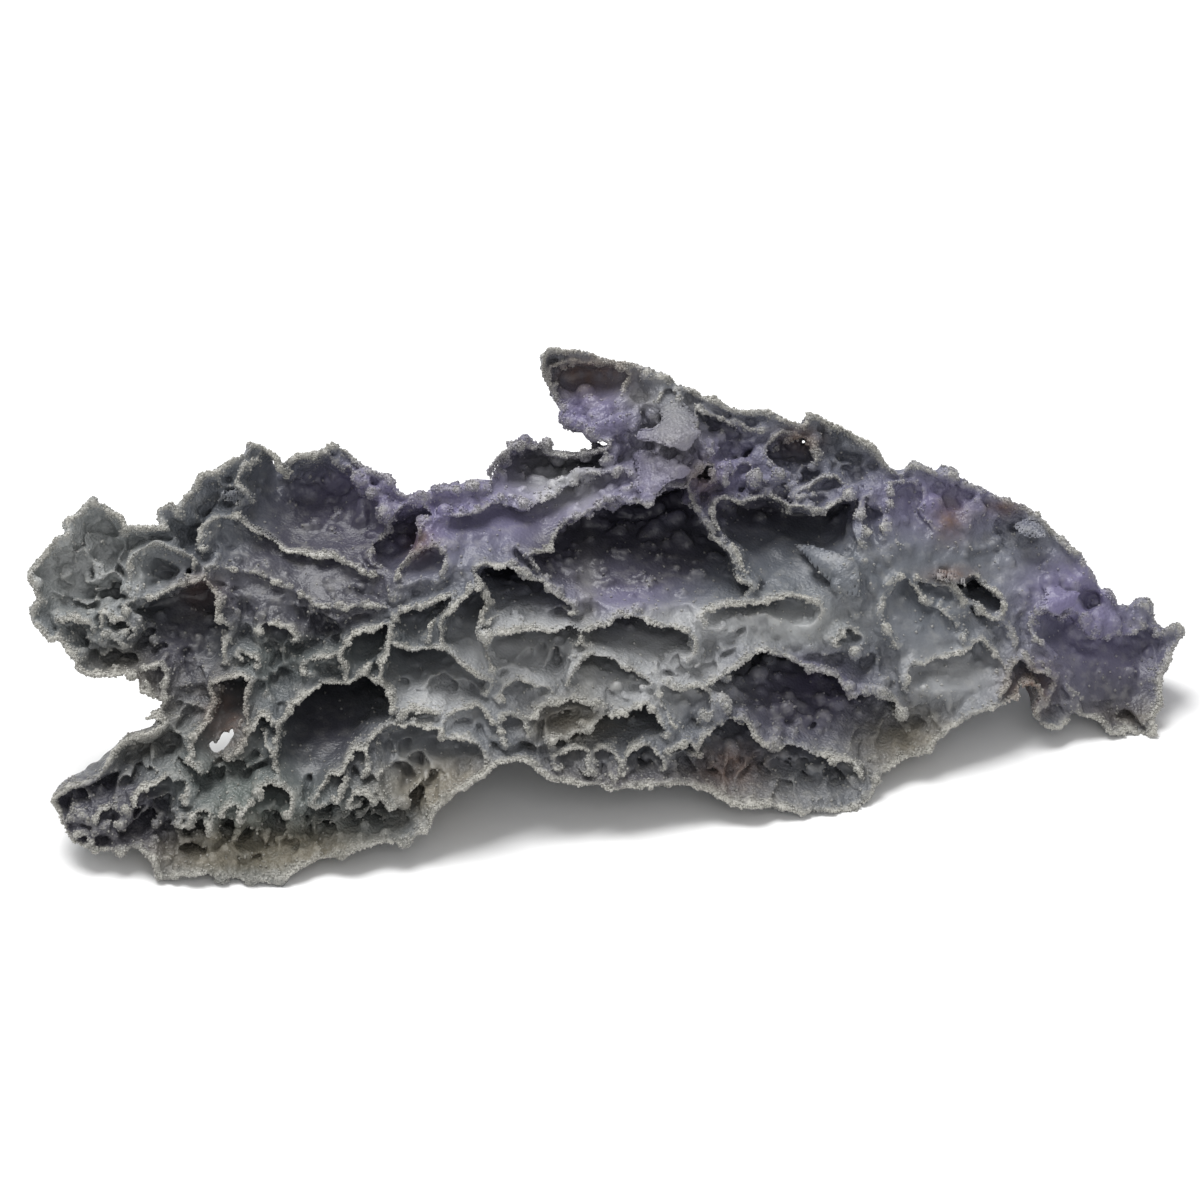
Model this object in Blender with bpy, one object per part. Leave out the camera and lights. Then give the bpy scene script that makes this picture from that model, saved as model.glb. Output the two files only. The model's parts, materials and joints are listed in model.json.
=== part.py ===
"""Grape agate specimen: one natural piece of chalcedony that grew as a honeycomb of thin walls.

The piece is built in the frame that its picture was taken in. A point is named by where it lies in the
picture (pixels of a 1200 x 1200 frame) and by how deep it lies behind the front rims, and place() turns
that into metres, +Z up. The body is a thick slab cut to the specimen's outline. Each pouch of the
honeycomb is a tapering cutter, each thin leaf is a plate, and each grape is a ball fused to the wall
that it grew on. The feet are cut level, so the piece rests as it lay in the picture.
"""
import math

import bmesh
import bpy
import numpy as np
from mathutils import Matrix, Vector, noise
from mathutils.bvhtree import BVHTree

NODE_NAME = "grape_agate"
MM = 0.001

# Driving dimensions
SPECIMEN_LENGTH = 222 * MM            # end to end
LOW_THICKNESS = 56 * MM               # from the rims back to the rear, low down in the middle
HIGH_THICKNESS = 22 * MM              # the same at the crest
THICKNESS_FALL = 1.5                  # power by which it falls from low down to the crest
END_THICKNESS = 14 * MM               # the same at the two thin ends
RIM_THICKNESS = 2.2 * MM              # of the walls where they end at the outline
REAR_ROUNDING = 11 * MM               # how far in from the outline the rear reaches its full thickness
REAR_LUMP = 4.0 * MM                  # height of the lumps on the rear
REAR_LUMP_SPACING = 11 * MM
UNDERSIDE_REACH = 0.8                 # share of the thickness that the level underside runs back
UNDERSIDE_GIRTH = 0.35                # girth below which it runs back less, towards the thin ends
UNDERSIDE_TOP = 16 * MM               # height above the lower edge where the outline is thin again
UNDERSIDE_LUMP = 2.0 * MM             # height of the lumps on the underside
UNDERSIDE_RAMP = 10 * MM              # how far back from the front edge they reach their full height
LEAF_THICKNESS = 2.2 * MM
GRAPE_SINK = 0.3                      # share of a grape's radius that is sunk in its wall
BED_CUT = 1.2 * MM                    # height of the flats that are cut on the lowest feet
TRIANGLES = 9400                      # about how many the finished solid has
GRID_STEP = 6.1 * MM                  # spacing of the cuts that let the slab bend

# The picture that the outlines are traced in
PICTURE_SIZE = 1200
PIXEL = SPECIMEN_LENGTH / PICTURE_SIZE
VIEW_ELEVATION = math.radians(30)
VIEW_DISTANCE = 760 * MM              # from the eye to the plane through the nearest foot
PICTURE_MIDDLE = (-4.22 * MM, -22.26 * MM, 47.09 * MM)  # where the picture's middle lies on that plane

# How the front face lies in depth
NEAR_FOOT = (237, 884)                # where the nearest foot touches the ground
FAR_FOOT_COLUMN = 1130                # where the farthest foot touches it
FEET_BEND = (6.6 * MM, 37.4 * MM)     # depth of the line of feet: its straight and its squared part
SWELL_FADE = 12 * MM                  # height above the ground where the swells below are full
FACE_RECLINE = 0.27                   # depth that the face gains for each unit of height in the picture
END_DRIFT = 0.25                      # how fast both ends draw in to the middle going deeper
FOOT_DRIFT = 0.61                     # how fast the low parts rise in the picture going deeper
CREST_DRIFT = -0.12                   # how fast the crest sinks in the picture going deeper

# The crest, and how full the rear is along the length: (pixel column, value)
CREST = [(27, 60), (100, 68), (250, 82), (400, 74), (500, 82), (560, 99), (650, 94), (740, 87),
         (870, 81), (950, 76), (1050, 64), (1120, 52), (1185, 46)]
GIRTH = [(27, 0.0), (150, 0.25), (300, 0.8), (450, 1.0), (850, 1.0), (980, 0.55), (1060, 0.1), (1185, 0.0)]

# Broad swells of the face towards the eye: column, row, reach in pixels, height in millimetres
FACE_SWELLS = [(470, 590, 60, 5), (250, 830, 70, 4), (420, 770, 50, 3), (850, 560, 40, 5),
               (640, 650, 70, 3), (680, 440, 30, 5), (560, 380, 40, -6), (930, 640, 50, 3),
               (300, 500, 60, -6), (545, 460, 50, -9), (770, 450, 50, -4), (960, 500, 60, -3)]

# Swells of the underside that the piece leans back on: column, depth, reach and drop in millimetres
REAR_FEET = [(350, 42, 11, 2), (490, 38, 14, 11), (815, 46, 12, 3.5)]

# Rings of a pouch's cutter: share of its depth, size beside the rim. The first stands out in front.
SHALLOW_RINGS = [(0, 1.1), (1.0, 0.62)]
DEEP_RINGS = [(0, 1.03), (0.6, 0.9), (1.0, 0.5)]
DEEP_POUCH = 11                       # millimetres, from which a pouch has the deep rings
CUTTER_REACH = 3 * MM                 # how far a cutter stands out in front of the rims
RIM_TOLERANCE = 0.3 * MM              # corners nearer than this to their neighbours' line are left out
HOLE_REACH = 90 * MM                  # how far a hole's cutter goes back
SIGHT_REACH = (-60 * MM, 60 * MM)     # the stretch of a line of sight that looks for a wall

# Lumps over the rear
REAR_LUMPS = 30                       # directions tried all round, of which the rear ones are used
REAR_LUMP_SIZES = (3.4 * MM, 2.6 * MM, 4.2 * MM, 3.0 * MM, 2.2 * MM)
REAR_LUMP_SINK = 0.25
REAR_FACING = 0.15                    # least share of a lump's direction that points to the rear

# Traced outlines, in pixels of the picture
OUTLINE = [
    (27, 574), (38, 561), (49, 546), (66, 534), (66, 522), (78, 512), (92, 507), (105, 507), (122, 521),
    (125, 532), (151, 527), (161, 530), (162, 508), (170, 506), (179, 512), (184, 495), (204, 477),
    (220, 472), (239, 451), (246, 439), (262, 444), (280, 464), (296, 454), (318, 453), (326, 445),
    (340, 450), (370, 471), (390, 479), (401, 494), (412, 502), (430, 496), (437, 485), (453, 489),
    (467, 484), (493, 485), (493, 472), (497, 459), (508, 449), (498, 438), (522, 443), (544, 447),
    (549, 437), (555, 451), (577, 453), (609, 441), (597, 436), (590, 429), (578, 429), (566, 423),
    (558, 404), (544, 370), (543, 356), (554, 348), (593, 350), (627, 363), (656, 376), (704, 393),
    (740, 412), (762, 410), (798, 425), (804, 421), (807, 410), (835, 423), (873, 444), (885, 458),
    (898, 466), (910, 463), (952, 472), (997, 491), (1038, 517), (1057, 536), (1095, 571), (1124, 603),
    (1131, 604), (1141, 598), (1151, 606), (1153, 620), (1169, 628), (1178, 624), (1185, 632), (1172, 651),
    (1162, 677), (1153, 711), (1150, 731), (1143, 736), (1111, 737), (1099, 724), (1076, 720), (1051, 736),
    (1036, 734), (1033, 718), (1037, 699), (1033, 686), (1024, 689), (1019, 702), (989, 710), (974, 718),
    (949, 731), (936, 747), (904, 760), (891, 772), (879, 779), (868, 800), (845, 812), (800, 814),
    (755, 802), (736, 806), (701, 793), (675, 788), (621, 790), (578, 786), (554, 782), (530, 764),
    (514, 761), (495, 760), (471, 781), (434, 808), (423, 831), (407, 844), (362, 851), (320, 862),
    (281, 876), (253, 883), (237, 884), (212, 875), (172, 879), (159, 884), (151, 861), (139, 854),
    (103, 856), (70, 848), (59, 827), (48, 803), (52, 796), (72, 783), (95, 771), (118, 745), (135, 739),
    (163, 725), (141, 720), (158, 714), (164, 701), (153, 696), (137, 690), (139, 678), (122, 671),
    (94, 674), (75, 668), (76, 661), (63, 637), (54, 640), (32, 628), (32, 616), (40, 607), (31, 584),
]

CELLS = {
    "pink_window": (4, 0.5, [(136, 561), (153, 550), (168, 553), (190, 564), (190, 571), (183, 584),
                             (162, 595), (139, 598), (134, 588), (131, 570)]),
    "left_bowl": (16, 0.6, [(127, 609), (139, 601), (160, 598), (181, 588), (204, 583), (218, 603),
                            (218, 618), (224, 632), (221, 650), (224, 665), (212, 679), (201, 681),
                            (180, 665), (162, 657), (151, 640), (141, 622)]),
    "lobe_slot_low": (6, 0.7, [(61, 622), (76, 619), (87, 622), (98, 637), (83, 636), (68, 630)]),
    "lobe_slot_high": (6, 0.7, [(105, 613), (120, 618), (135, 630), (131, 635), (116, 630), (105, 624)]),
    "lobe_slot_small": (4, 0.5, [(105, 636), (116, 634), (127, 640), (116, 644)]),
    "edge_cavity": (5, 0.5, [(145, 668), (158, 667), (163, 680), (164, 695), (158, 698), (151, 686)]),
    "tall_window": (13, 0.5, [(214, 686), (241, 680), (246, 684), (239, 704), (243, 727), (233, 731),
                              (220, 750), (208, 762), (194, 776), (189, 766), (191, 740), (205, 725),
                              (213, 708)]),
    "slanting_slot": (10, 0.6, [(224, 766), (235, 758), (251, 733), (262, 717), (269, 721), (260, 737),
                                (262, 752), (270, 759), (255, 770), (237, 775)]),
    "foot_hall": (9, 0.8, [(127, 808), (135, 802), (143, 789), (162, 783), (168, 789), (181, 793),
                           (181, 808), (162, 808), (145, 815)]),
    "foot_pit_round": (6, 0.5, [(97, 816), (101, 808), (109, 805), (117, 809), (119, 817), (114, 825),
                                (106, 827), (99, 823)]),
    "foot_pit_left": (5, 0.5, [(71, 816), (75, 810), (82, 810), (86, 816), (82, 822), (75, 822)]),
    "foot_pit_low": (5, 0.5, [(75, 841), (79, 834), (87, 833), (92, 840), (88, 848), (79, 848)]),
    "foot_pit_mid": (6, 0.5, [(180, 829), (193, 818), (205, 818), (206, 831), (189, 832)]),
    "foot_pit_flat": (3, 0.5, [(220, 816), (228, 810), (237, 812), (224, 820)]),
    "foot_bowl": (12, 0.6, [(240, 822), (252, 806), (257, 797), (268, 790), (279, 793), (288, 801),
                            (287, 815), (280, 826), (268, 831), (254, 831)]),
    "upper_bowl": (13, 0.45, [(236, 515), (248, 500), (240, 482), (247, 466), (262, 450), (274, 464),
                              (284, 480), (293, 466), (318, 460), (343, 468), (360, 480), (378, 505),
                              (388, 530), (383, 553), (368, 556), (348, 546), (331, 543), (302, 548),
                              (284, 550), (265, 537), (250, 525)]),
    "violet_ledge": (5, 0.9, [(203, 545), (203, 531), (215, 522), (236, 524), (262, 542), (285, 556),
                              (330, 554), (352, 563), (372, 576), (388, 590), (395, 598), (390, 604),
                              (350, 602), (318, 599), (292, 578), (270, 566), (245, 572), (222, 562)]),
    "blue_face": (4, 0.3, [(210, 572), (226, 570), (250, 577), (288, 587), (316, 604), (350, 608),
                           (390, 610), (380, 620), (357, 628), (335, 614), (322, 612), (300, 636),
                           (292, 622), (270, 616), (248, 612), (240, 602), (218, 586)]),
    "lace_window": (8, 0.6, [(257, 632), (267, 624), (277, 625), (286, 630), (292, 638), (286, 648),
                             (273, 649), (265, 641)]),
    "lace_pit": (5, 0.5, [(240, 659), (252, 661), (256, 666), (250, 671)]),
    "valley": (16, 0.4, [(372, 545), (379, 563), (390, 580), (398, 566), (410, 552), (417, 540),
                         (420, 525), (430, 516), (425, 507), (405, 510), (392, 520), (385, 535)]),
    "violet_shell": (8, 0.6, [(396, 583), (400, 570), (412, 557), (425, 550), (436, 548), (444, 557),
                              (441, 567), (433, 577), (424, 584), (410, 586)]),
    "violet_bench": (6, 0.9, [(442, 524), (450, 516), (470, 511), (488, 504), (500, 501), (540, 503),
                              (560, 493), (580, 481), (600, 477), (620, 471), (630, 472), (631, 488),
                              (622, 496), (603, 499), (592, 508), (577, 515), (563, 524), (551, 534),
                              (547, 543), (533, 546), (524, 552), (517, 558), (505, 557), (490, 560),
                              (477, 564), (466, 552), (455, 541), (445, 535), (438, 531)]),
    "rear_trough": (15, 0.15, [(494, 492), (497, 470), (503, 458), (513, 452), (540, 452), (553, 462),
                               (575, 458), (600, 450), (606, 455), (599, 464), (585, 469), (567, 475),
                               (559, 484), (547, 490), (540, 495), (515, 493), (507, 491)]),
    "shell_pocket": (12, 0.7, [(399, 610), (420, 608), (437, 603), (449, 598), (441, 611), (429, 622),
                               (426, 635), (421, 640), (405, 640), (396, 632), (396, 620)]),
    "fan_cell": (13, 0.6, [(446, 620), (455, 608), (463, 599), (472, 589), (481, 591), (486, 605),
                           (483, 618), (480, 628), (483, 647), (491, 670), (486, 674), (472, 664),
                           (454, 654), (445, 647), (441, 636)]),
    "corner_cell": (12, 0.7, [(355, 636), (372, 629), (390, 624), (389, 637), (381, 650), (371, 659),
                              (364, 664), (359, 676), (344, 678), (342, 660), (348, 645)]),
    "corner_shelf": (5, 0.7, [(303, 671), (320, 662), (336, 660), (337, 668), (323, 677), (307, 683)]),
    "wing_cell": (16, 0.7, [(383, 662), (393, 643), (403, 646), (430, 647), (443, 657), (461, 668),
                            (480, 679), (490, 685), (488, 693), (472, 696), (447, 692), (422, 693),
                            (405, 695), (395, 694), (387, 685)]),
    "dark_hall": (24, 0.6, [(291, 708), (303, 699), (320, 692), (336, 691), (357, 682), (366, 676),
                            (380, 681), (388, 695), (393, 712), (395, 720), (383, 731), (367, 737),
                            (355, 748), (340, 766), (328, 776), (318, 790), (306, 798), (293, 795),
                            (281, 786), (274, 774), (276, 745), (281, 722)]),
    "beige_shell": (10, 0.75, [(376, 742), (388, 735), (399, 730), (418, 729), (438, 732), (443, 739),
                               (464, 743), (473, 749), (479, 756), (470, 766), (457, 781), (441, 793),
                               (418, 802), (400, 804), (391, 806), (388, 787), (381, 772), (373, 758)]),
    "pillow_cell": (14, 0.8, [(485, 644), (492, 633), (511, 633), (520, 629), (540, 634), (552, 637),
                              (568, 636), (577, 641), (577, 652), (570, 662), (560, 672), (545, 675),
                              (520, 676), (497, 673), (489, 660)]),
    "black_vault": (22, 0.65, [(476, 573), (486, 567), (508, 564), (518, 570), (530, 577), (540, 581),
                               (548, 592), (560, 602), (570, 609), (571, 616), (555, 617), (540, 615),
                               (520, 613), (500, 613), (490, 616), (490, 603), (486, 592), (480, 582)]),
    "bead_slot_left": (6, 0.6, [(400, 718), (410, 709), (430, 711), (439, 716), (432, 723), (415, 723)]),
    "bead_slot_mid": (6, 0.6, [(445, 724), (457, 715), (480, 709), (490, 720), (494, 730), (489, 738),
                               (443, 732)]),
    "bead_slot_right": (6, 0.6, [(502, 718), (511, 713), (520, 717), (525, 731), (513, 737), (502, 737)]),
    "narrow_slot": (8, 0.7, [(502, 699), (508, 690), (520, 685), (536, 692), (547, 696), (545, 701),
                             (530, 705), (511, 705)]),
    "hem_pit_left": (6, 0.5, [(322, 791), (332, 779), (343, 775), (345, 781), (338, 796), (324, 805),
                              (317, 803)]),
    "hem_pit_high": (6, 0.5, [(357, 753), (366, 750), (370, 756), (365, 771), (352, 782), (346, 773)]),
    "hem_pit_low": (6, 0.5, [(354, 804), (358, 792), (369, 790), (375, 797), (369, 806)]),
    "great_vault": (26, 0.7, [(536, 553), (552, 548), (562, 529), (578, 520), (594, 513), (604, 504),
                              (640, 502), (660, 497), (668, 488), (687, 488), (689, 500), (697, 514),
                              (704, 528), (710, 541), (724, 551), (730, 563), (731, 578), (745, 588),
                              (740, 594), (715, 597), (700, 601), (680, 602), (655, 600), (640, 598),
                              (622, 599), (608, 602), (588, 599), (574, 592), (558, 584), (547, 574),
                              (540, 564)]),
    "eye_cell": (17, 0.8, [(581, 641), (592, 633), (602, 627), (616, 621), (620, 614), (632, 614),
                           (647, 619), (661, 624), (680, 629), (690, 639), (692, 650), (682, 656),
                           (668, 660), (654, 667), (642, 668), (625, 661), (600, 656), (587, 653)]),
    "low_arch": (13, 0.8, [(571, 689), (575, 680), (583, 669), (595, 666), (612, 668), (625, 674),
                           (640, 680), (646, 684), (640, 690), (630, 694), (615, 697), (600, 697),
                           (582, 696), (573, 694)]),
    "beige_fan": (8, 0.9, [(527, 717), (541, 712), (562, 704), (580, 704), (596, 707), (602, 712),
                           (592, 716), (580, 724), (567, 728), (556, 733), (547, 727), (532, 725)]),
    "dark_gallery": (22, 0.6, [(553, 741), (572, 738), (586, 733), (598, 725), (606, 719), (628, 716),
                               (640, 710), (648, 708), (654, 714), (657, 723), (663, 733), (657, 739),
                               (645, 741), (633, 745), (620, 750), (605, 748), (585, 747), (570, 744),
                               (560, 747)]),
    "rib_cell_left": (7, 0.8, [(557, 755), (570, 751), (581, 755), (584, 772), (577, 778), (565, 776),
                               (557, 766)]),
    "rib_cell_right": (7, 0.8, [(592, 757), (601, 753), (612, 758), (616, 766), (613, 775), (600, 777),
                                (592, 775)]),
    "round_cell": (9, 0.7, [(624, 763), (628, 755), (637, 751), (650, 752), (657, 759), (660, 768),
                            (655, 777), (645, 781), (632, 780), (625, 774)]),
    "grey_dish": (9, 0.7, [(660, 693), (663, 686), (680, 692), (690, 691), (697, 690), (702, 695),
                           (706, 704), (709, 713), (705, 721), (694, 727), (681, 730), (674, 723),
                           (670, 712), (663, 702)]),
    "under_dish": (10, 0.6, [(667, 752), (676, 747), (687, 742), (691, 750), (684, 759), (673, 761)]),
    "grape_cavern": (24, 0.65, [(708, 687), (722, 680), (736, 670), (745, 658), (757, 653), (770, 657),
                                (787, 662), (801, 668), (814, 675), (826, 677), (845, 687), (858, 695),
                                (880, 692), (894, 702), (900, 713), (888, 719), (868, 725), (850, 732),
                                (836, 746), (815, 749), (795, 742), (772, 735), (757, 727), (747, 717),
                                (735, 713), (728, 708), (724, 699), (714, 695)]),
    "lower_cavern": (14, 0.7, [(716, 735), (727, 725), (738, 721), (748, 731), (757, 742), (775, 749),
                               (797, 756), (815, 763), (838, 763), (850, 765), (860, 777), (862, 786),
                               (852, 793), (830, 796), (812, 792), (795, 786), (778, 788), (765, 783),
                               (752, 772), (735, 765), (718, 768), (706, 761), (697, 753), (704, 741)]),
    "long_slot": (8, 0.85, [(705, 613), (716, 608), (740, 605), (760, 602), (800, 600), (816, 602),
                            (819, 611), (810, 620), (798, 624), (780, 621), (765, 615), (750, 613),
                            (738, 617), (722, 623), (711, 628), (705, 622)]),
    "keyhole": (7, 0.5, [(837, 641), (845, 633), (855, 638), (853, 648), (843, 651)]),
    "blue_cell": (18, 0.7, [(712, 512), (718, 505), (727, 501), (742, 506), (757, 502), (770, 500),
                            (780, 506), (790, 511), (800, 509), (814, 514), (826, 512), (845, 505),
                            (857, 505), (856, 532), (857, 546), (848, 559), (852, 572), (845, 588),
                            (815, 591), (790, 591), (765, 592), (757, 580), (744, 570), (742, 559),
                            (736, 546), (725, 537), (717, 526)]),
    "violet_funnel": (13, 0.5, [(700, 408), (715, 416), (728, 423), (745, 430), (762, 434), (757, 440),
                                (735, 443), (718, 449), (708, 449), (704, 438), (698, 428), (703, 420)]),
    "brown_funnel": (13, 0.5, [(770, 449), (776, 442), (784, 436), (796, 436), (807, 440), (813, 446),
                               (817, 456), (813, 462), (798, 467), (788, 467), (775, 462), (768, 460)]),
    "brow_slot": (8, 0.6, [(798, 494), (813, 490), (825, 482), (834, 481), (841, 489), (845, 495),
                           (832, 496), (815, 495)]),
    "bead_hollow": (5, 0.5, [(728, 473), (736, 477), (743, 471), (751, 469), (756, 473), (754, 480),
                             (748, 486), (741, 491), (733, 487), (728, 481)]),
    "bead_groove": (5, 0.5, [(765, 481), (778, 479), (789, 484), (786, 489), (772, 487), (764, 487)]),
    "brown_nook": (12, 0.5, [(697, 469), (706, 465), (714, 468), (714, 478), (706, 485), (701, 492),
                             (694, 498), (690, 494), (692, 485), (694, 476)]),
    "horn_hollow": (9, 0.8, [(556, 368), (577, 362), (600, 365), (615, 367), (625, 376), (621, 388),
                             (616, 397), (604, 402), (585, 402), (570, 397), (561, 389), (555, 379)]),
    "horn_pocket": (4, 0.6, [(662, 398), (664, 388), (672, 387), (678, 394), (676, 400)]),
    "side_channel": (7, 0.5, [(867, 502), (876, 508), (885, 517), (882, 530), (885, 545), (877, 555),
                              (870, 561), (866, 556), (866, 545), (870, 530), (868, 515)]),
    "slope_dish": (4, 0.5, [(892, 484), (905, 480), (918, 483), (920, 495), (917, 510), (924, 520),
                            (933, 531), (924, 540), (900, 545), (893, 540), (896, 528), (893, 513),
                            (888, 500)]),
    "grey_shell": (6, 0.7, [(886, 594), (892, 583), (903, 577), (911, 586), (919, 596), (935, 605),
                            (948, 614), (958, 625), (965, 635), (957, 645), (945, 650), (925, 653),
                            (907, 653), (896, 647), (888, 630), (884, 610)]),
    "behind_lip": (6, 0.6, [(918, 576), (935, 581), (950, 584), (957, 592), (963, 603), (965, 616),
                            (955, 609), (942, 598), (927, 589)]),
    "black_slot": (18, 0.5, [(954, 580), (966, 584), (978, 578), (985, 585), (995, 594), (1004, 600),
                             (1002, 614), (997, 621), (989, 614), (975, 605), (968, 600), (963, 590)]),
    "side_shelf": (8, 0.6, [(971, 612), (979, 611), (992, 623), (1008, 631), (1016, 641), (1014, 651),
                            (1009, 655), (1001, 645), (993, 637), (984, 629), (976, 621)]),
    "lower_shell": (10, 0.6, [(912, 676), (918, 669), (930, 664), (947, 661), (962, 655), (976, 648),
                              (984, 644), (993, 649), (1000, 658), (1003, 668), (1000, 676), (992, 683),
                              (985, 692), (972, 695), (955, 694), (935, 691), (920, 689), (911, 684)]),
    "brown_arch": (10, 0.7, [(996, 702), (1000, 693), (1010, 685), (1013, 668), (1017, 659), (1022, 657),
                             (1031, 670), (1042, 668), (1048, 675), (1051, 685), (1047, 695), (1045, 705),
                             (1040, 690), (1036, 676), (1026, 677), (1018, 688), (1013, 700)]),
    "violet_end": (7, 0.8, [(1038, 612), (1047, 611), (1060, 617), (1076, 614), (1083, 622), (1090, 633),
                            (1098, 638), (1107, 635), (1120, 633), (1132, 634), (1142, 626), (1152, 629),
                            (1163, 636), (1166, 643), (1159, 660), (1154, 680), (1147, 700), (1144, 712),
                            (1133, 712), (1118, 709), (1105, 708), (1088, 710), (1081, 700), (1076, 688),
                            (1066, 674), (1058, 660), (1048, 648), (1038, 640), (1034, 627)]),
}

HOLES = {
    "see_through": [(208, 748), (220, 740), (231, 732), (234, 735), (222, 748), (212, 752)],
}

FLAPS = {
    "leaf_upper": ((665, 402, 2), (690, 460, -6), [
        (660, 406), (668, 403), (681, 401), (690, 404), (692, 412), (700, 418), (694, 426), (701, 433),
        (704, 441), (703, 447), (707, 453), (704, 461), (695, 463), (684, 459), (672, 453), (664, 447),
        (651, 441), (639, 440), (637, 435), (643, 424), (652, 424), (661, 418)]),
    "leaf_lower": ((640, 450, 3), (670, 495, -5), [
        (634, 455), (641, 446), (655, 447), (665, 455), (690, 467), (693, 471), (685, 479), (671, 481),
        (662, 489), (656, 498), (643, 498), (635, 490), (636, 470)]),
    "brow_flap": ((1040, 575, 2), (1065, 612, -5), [
        (1040, 575), (1047, 574), (1056, 579), (1064, 589), (1079, 591), (1086, 594), (1090, 603),
        (1080, 608), (1068, 609), (1060, 614), (1052, 609), (1040, 609), (1034, 606), (1040, 600),
        (1042, 590)]),
    "fibre_flap": ((925, 567, 2), (968, 583, -5), [
        (921, 568), (935, 565), (950, 569), (962, 573), (975, 582), (965, 584), (951, 580), (935, 577),
        (923, 573)]),
    "crest_plate": ((1020, 517, 1), (1035, 541, -3), [
        (1015, 520), (1024, 517), (1036, 520), (1043, 530), (1046, 540), (1035, 540), (1020, 535),
        (1012, 526)]),
    "bowl_tongue": ((246, 500, 2), (222, 494, -4), [
        (221, 501), (222, 491), (236, 489), (248, 497), (246, 505), (236, 507)]),
    "inner_shelf": ((854, 528, -1), (785, 530, 6), [
        (782, 533), (790, 525), (805, 519), (818, 521), (832, 526), (848, 521), (860, 522), (860, 536),
        (835, 539), (805, 540)]),
    "fallen_leaf": ((856, 580, 0), (795, 550, 7), [
        (793, 549), (815, 547), (838, 553), (858, 565), (860, 596), (848, 598), (830, 585)]),
}

GRAPES = [
    (315, 526, 9), (386, 513, 11), (363, 511, 9), (361, 523, 8), (384, 500, 6), (375, 536, 6),
    (390, 549, 9), (403, 541, 8), (360, 478, 9), (365, 488, 10), (348, 484, 5), (330, 500, 6),
    (595, 525, 9), (655, 512, 9), (637, 519, 6), (680, 540, 10), (672, 520, 8), (624, 555, 7),
    (571, 577, 8), (610, 584, 7), (650, 582, 5), (699, 577, 9), (625, 515, 12), (655, 530, 11),
    (755, 680, 10), (760, 692, 7), (741, 715, 8), (788, 695, 7), (780, 714, 9), (803, 723, 8),
    (776, 734, 9), (770, 660, 8), (718, 706, 9), (716, 716, 8), (862, 688, 6), (820, 700, 8),
    (558, 459, 8), (540, 484, 9), (504, 462, 7), (500, 477, 8), (572, 415, 10), (598, 418, 9),
    (606, 430, 9), (620, 424, 10), (582, 424, 8), (618, 448, 8), (610, 460, 8), (653, 415, 8),
    (573, 479, 6), (585, 476, 6), (500, 498, 6), (511, 498, 6), (455, 487, 6), (470, 487, 7),
    (760, 519, 8), (753, 482, 6), (748, 494, 6), (725, 453, 9), (740, 452, 8), (763, 470, 8),
    (885, 534, 7), (866, 573, 6), (886, 559, 7), (877, 570, 6), (874, 584, 8), (888, 505, 6),
    (902, 493, 6), (932, 505, 12), (915, 470, 9), (950, 476, 9), (1142, 609, 12), (1108, 621, 13),
    (1128, 624, 9), (1176, 631, 8), (1093, 632, 7), (1106, 586, 6), (1095, 603, 7), (630, 628, 5),
    (486, 636, 7), (590, 648, 6), (812, 770, 7), (735, 765, 7), (735, 750, 5),
]


def picture_point(column, row):
    """Metres right of and above the picture's middle."""
    return (column - PICTURE_SIZE / 2) * PIXEL, (PICTURE_SIZE / 2 - row) * PIXEL


def metres(points):
    """A traced outline in metres, as an array of x, y."""
    return np.array([picture_point(column, row) for column, row in points])


def plainer(loop, tolerance):
    """The outline without the corners that stand less than the tolerance off their neighbours' line."""
    loop = list(loop)
    while len(loop) > 4:
        before, after = np.roll(loop, 1, axis=0), np.roll(loop, -1, axis=0)
        chord, reach = after - before, np.array(loop) - before
        cross = chord[:, 0] * reach[:, 1] - chord[:, 1] * reach[:, 0]
        height = np.abs(cross) / np.linalg.norm(chord, axis=1)
        if height.min() > tolerance:
            break
        loop.pop(int(height.argmin()))
    return np.array(loop)


def along_length(x, pairs):
    """A value that is given at a few pixel columns, at any x in metres."""
    columns = [picture_point(column, 0)[0] for column, value in pairs]
    return np.interp(x, columns, [value for column, value in pairs])


def feet_line(x):
    """Depth of the ground line under the rims at x, and its height in the picture."""
    near, low = picture_point(*NEAR_FOOT)
    far = picture_point(FAR_FOOT_COLUMN, 0)[0]
    share = (x - near) / (far - near)
    depth = FEET_BEND[0] * share + FEET_BEND[1] * share ** 2
    return depth, (low + depth * math.tan(VIEW_ELEVATION)) / (1 + depth / VIEW_DISTANCE)


def rim_depth(x, y):
    """Depth of the front rims: they follow the feet, lean back as they rise, and swell in places."""
    depth, low = feet_line(x)
    fade = np.clip((y - low) / SWELL_FADE, 0, 1)
    depth = depth + FACE_RECLINE * (y - low)
    for column, row, reach, height in FACE_SWELLS:
        cx, cy = picture_point(column, row)
        distance = ((x - cx) ** 2 + (y - cy) ** 2) / (reach * PIXEL) ** 2
        depth = depth - height * MM * fade * np.exp(-distance / 2)
    return depth


def height_share(x, y):
    """0 on the ground line, 1 at the crest."""
    low = feet_line(x)[1]
    crest = picture_point(0, NEAR_FOOT[1])[1] + along_length(x, CREST) * MM
    return np.clip((y - low) / (crest - low), 0, 1)


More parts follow.
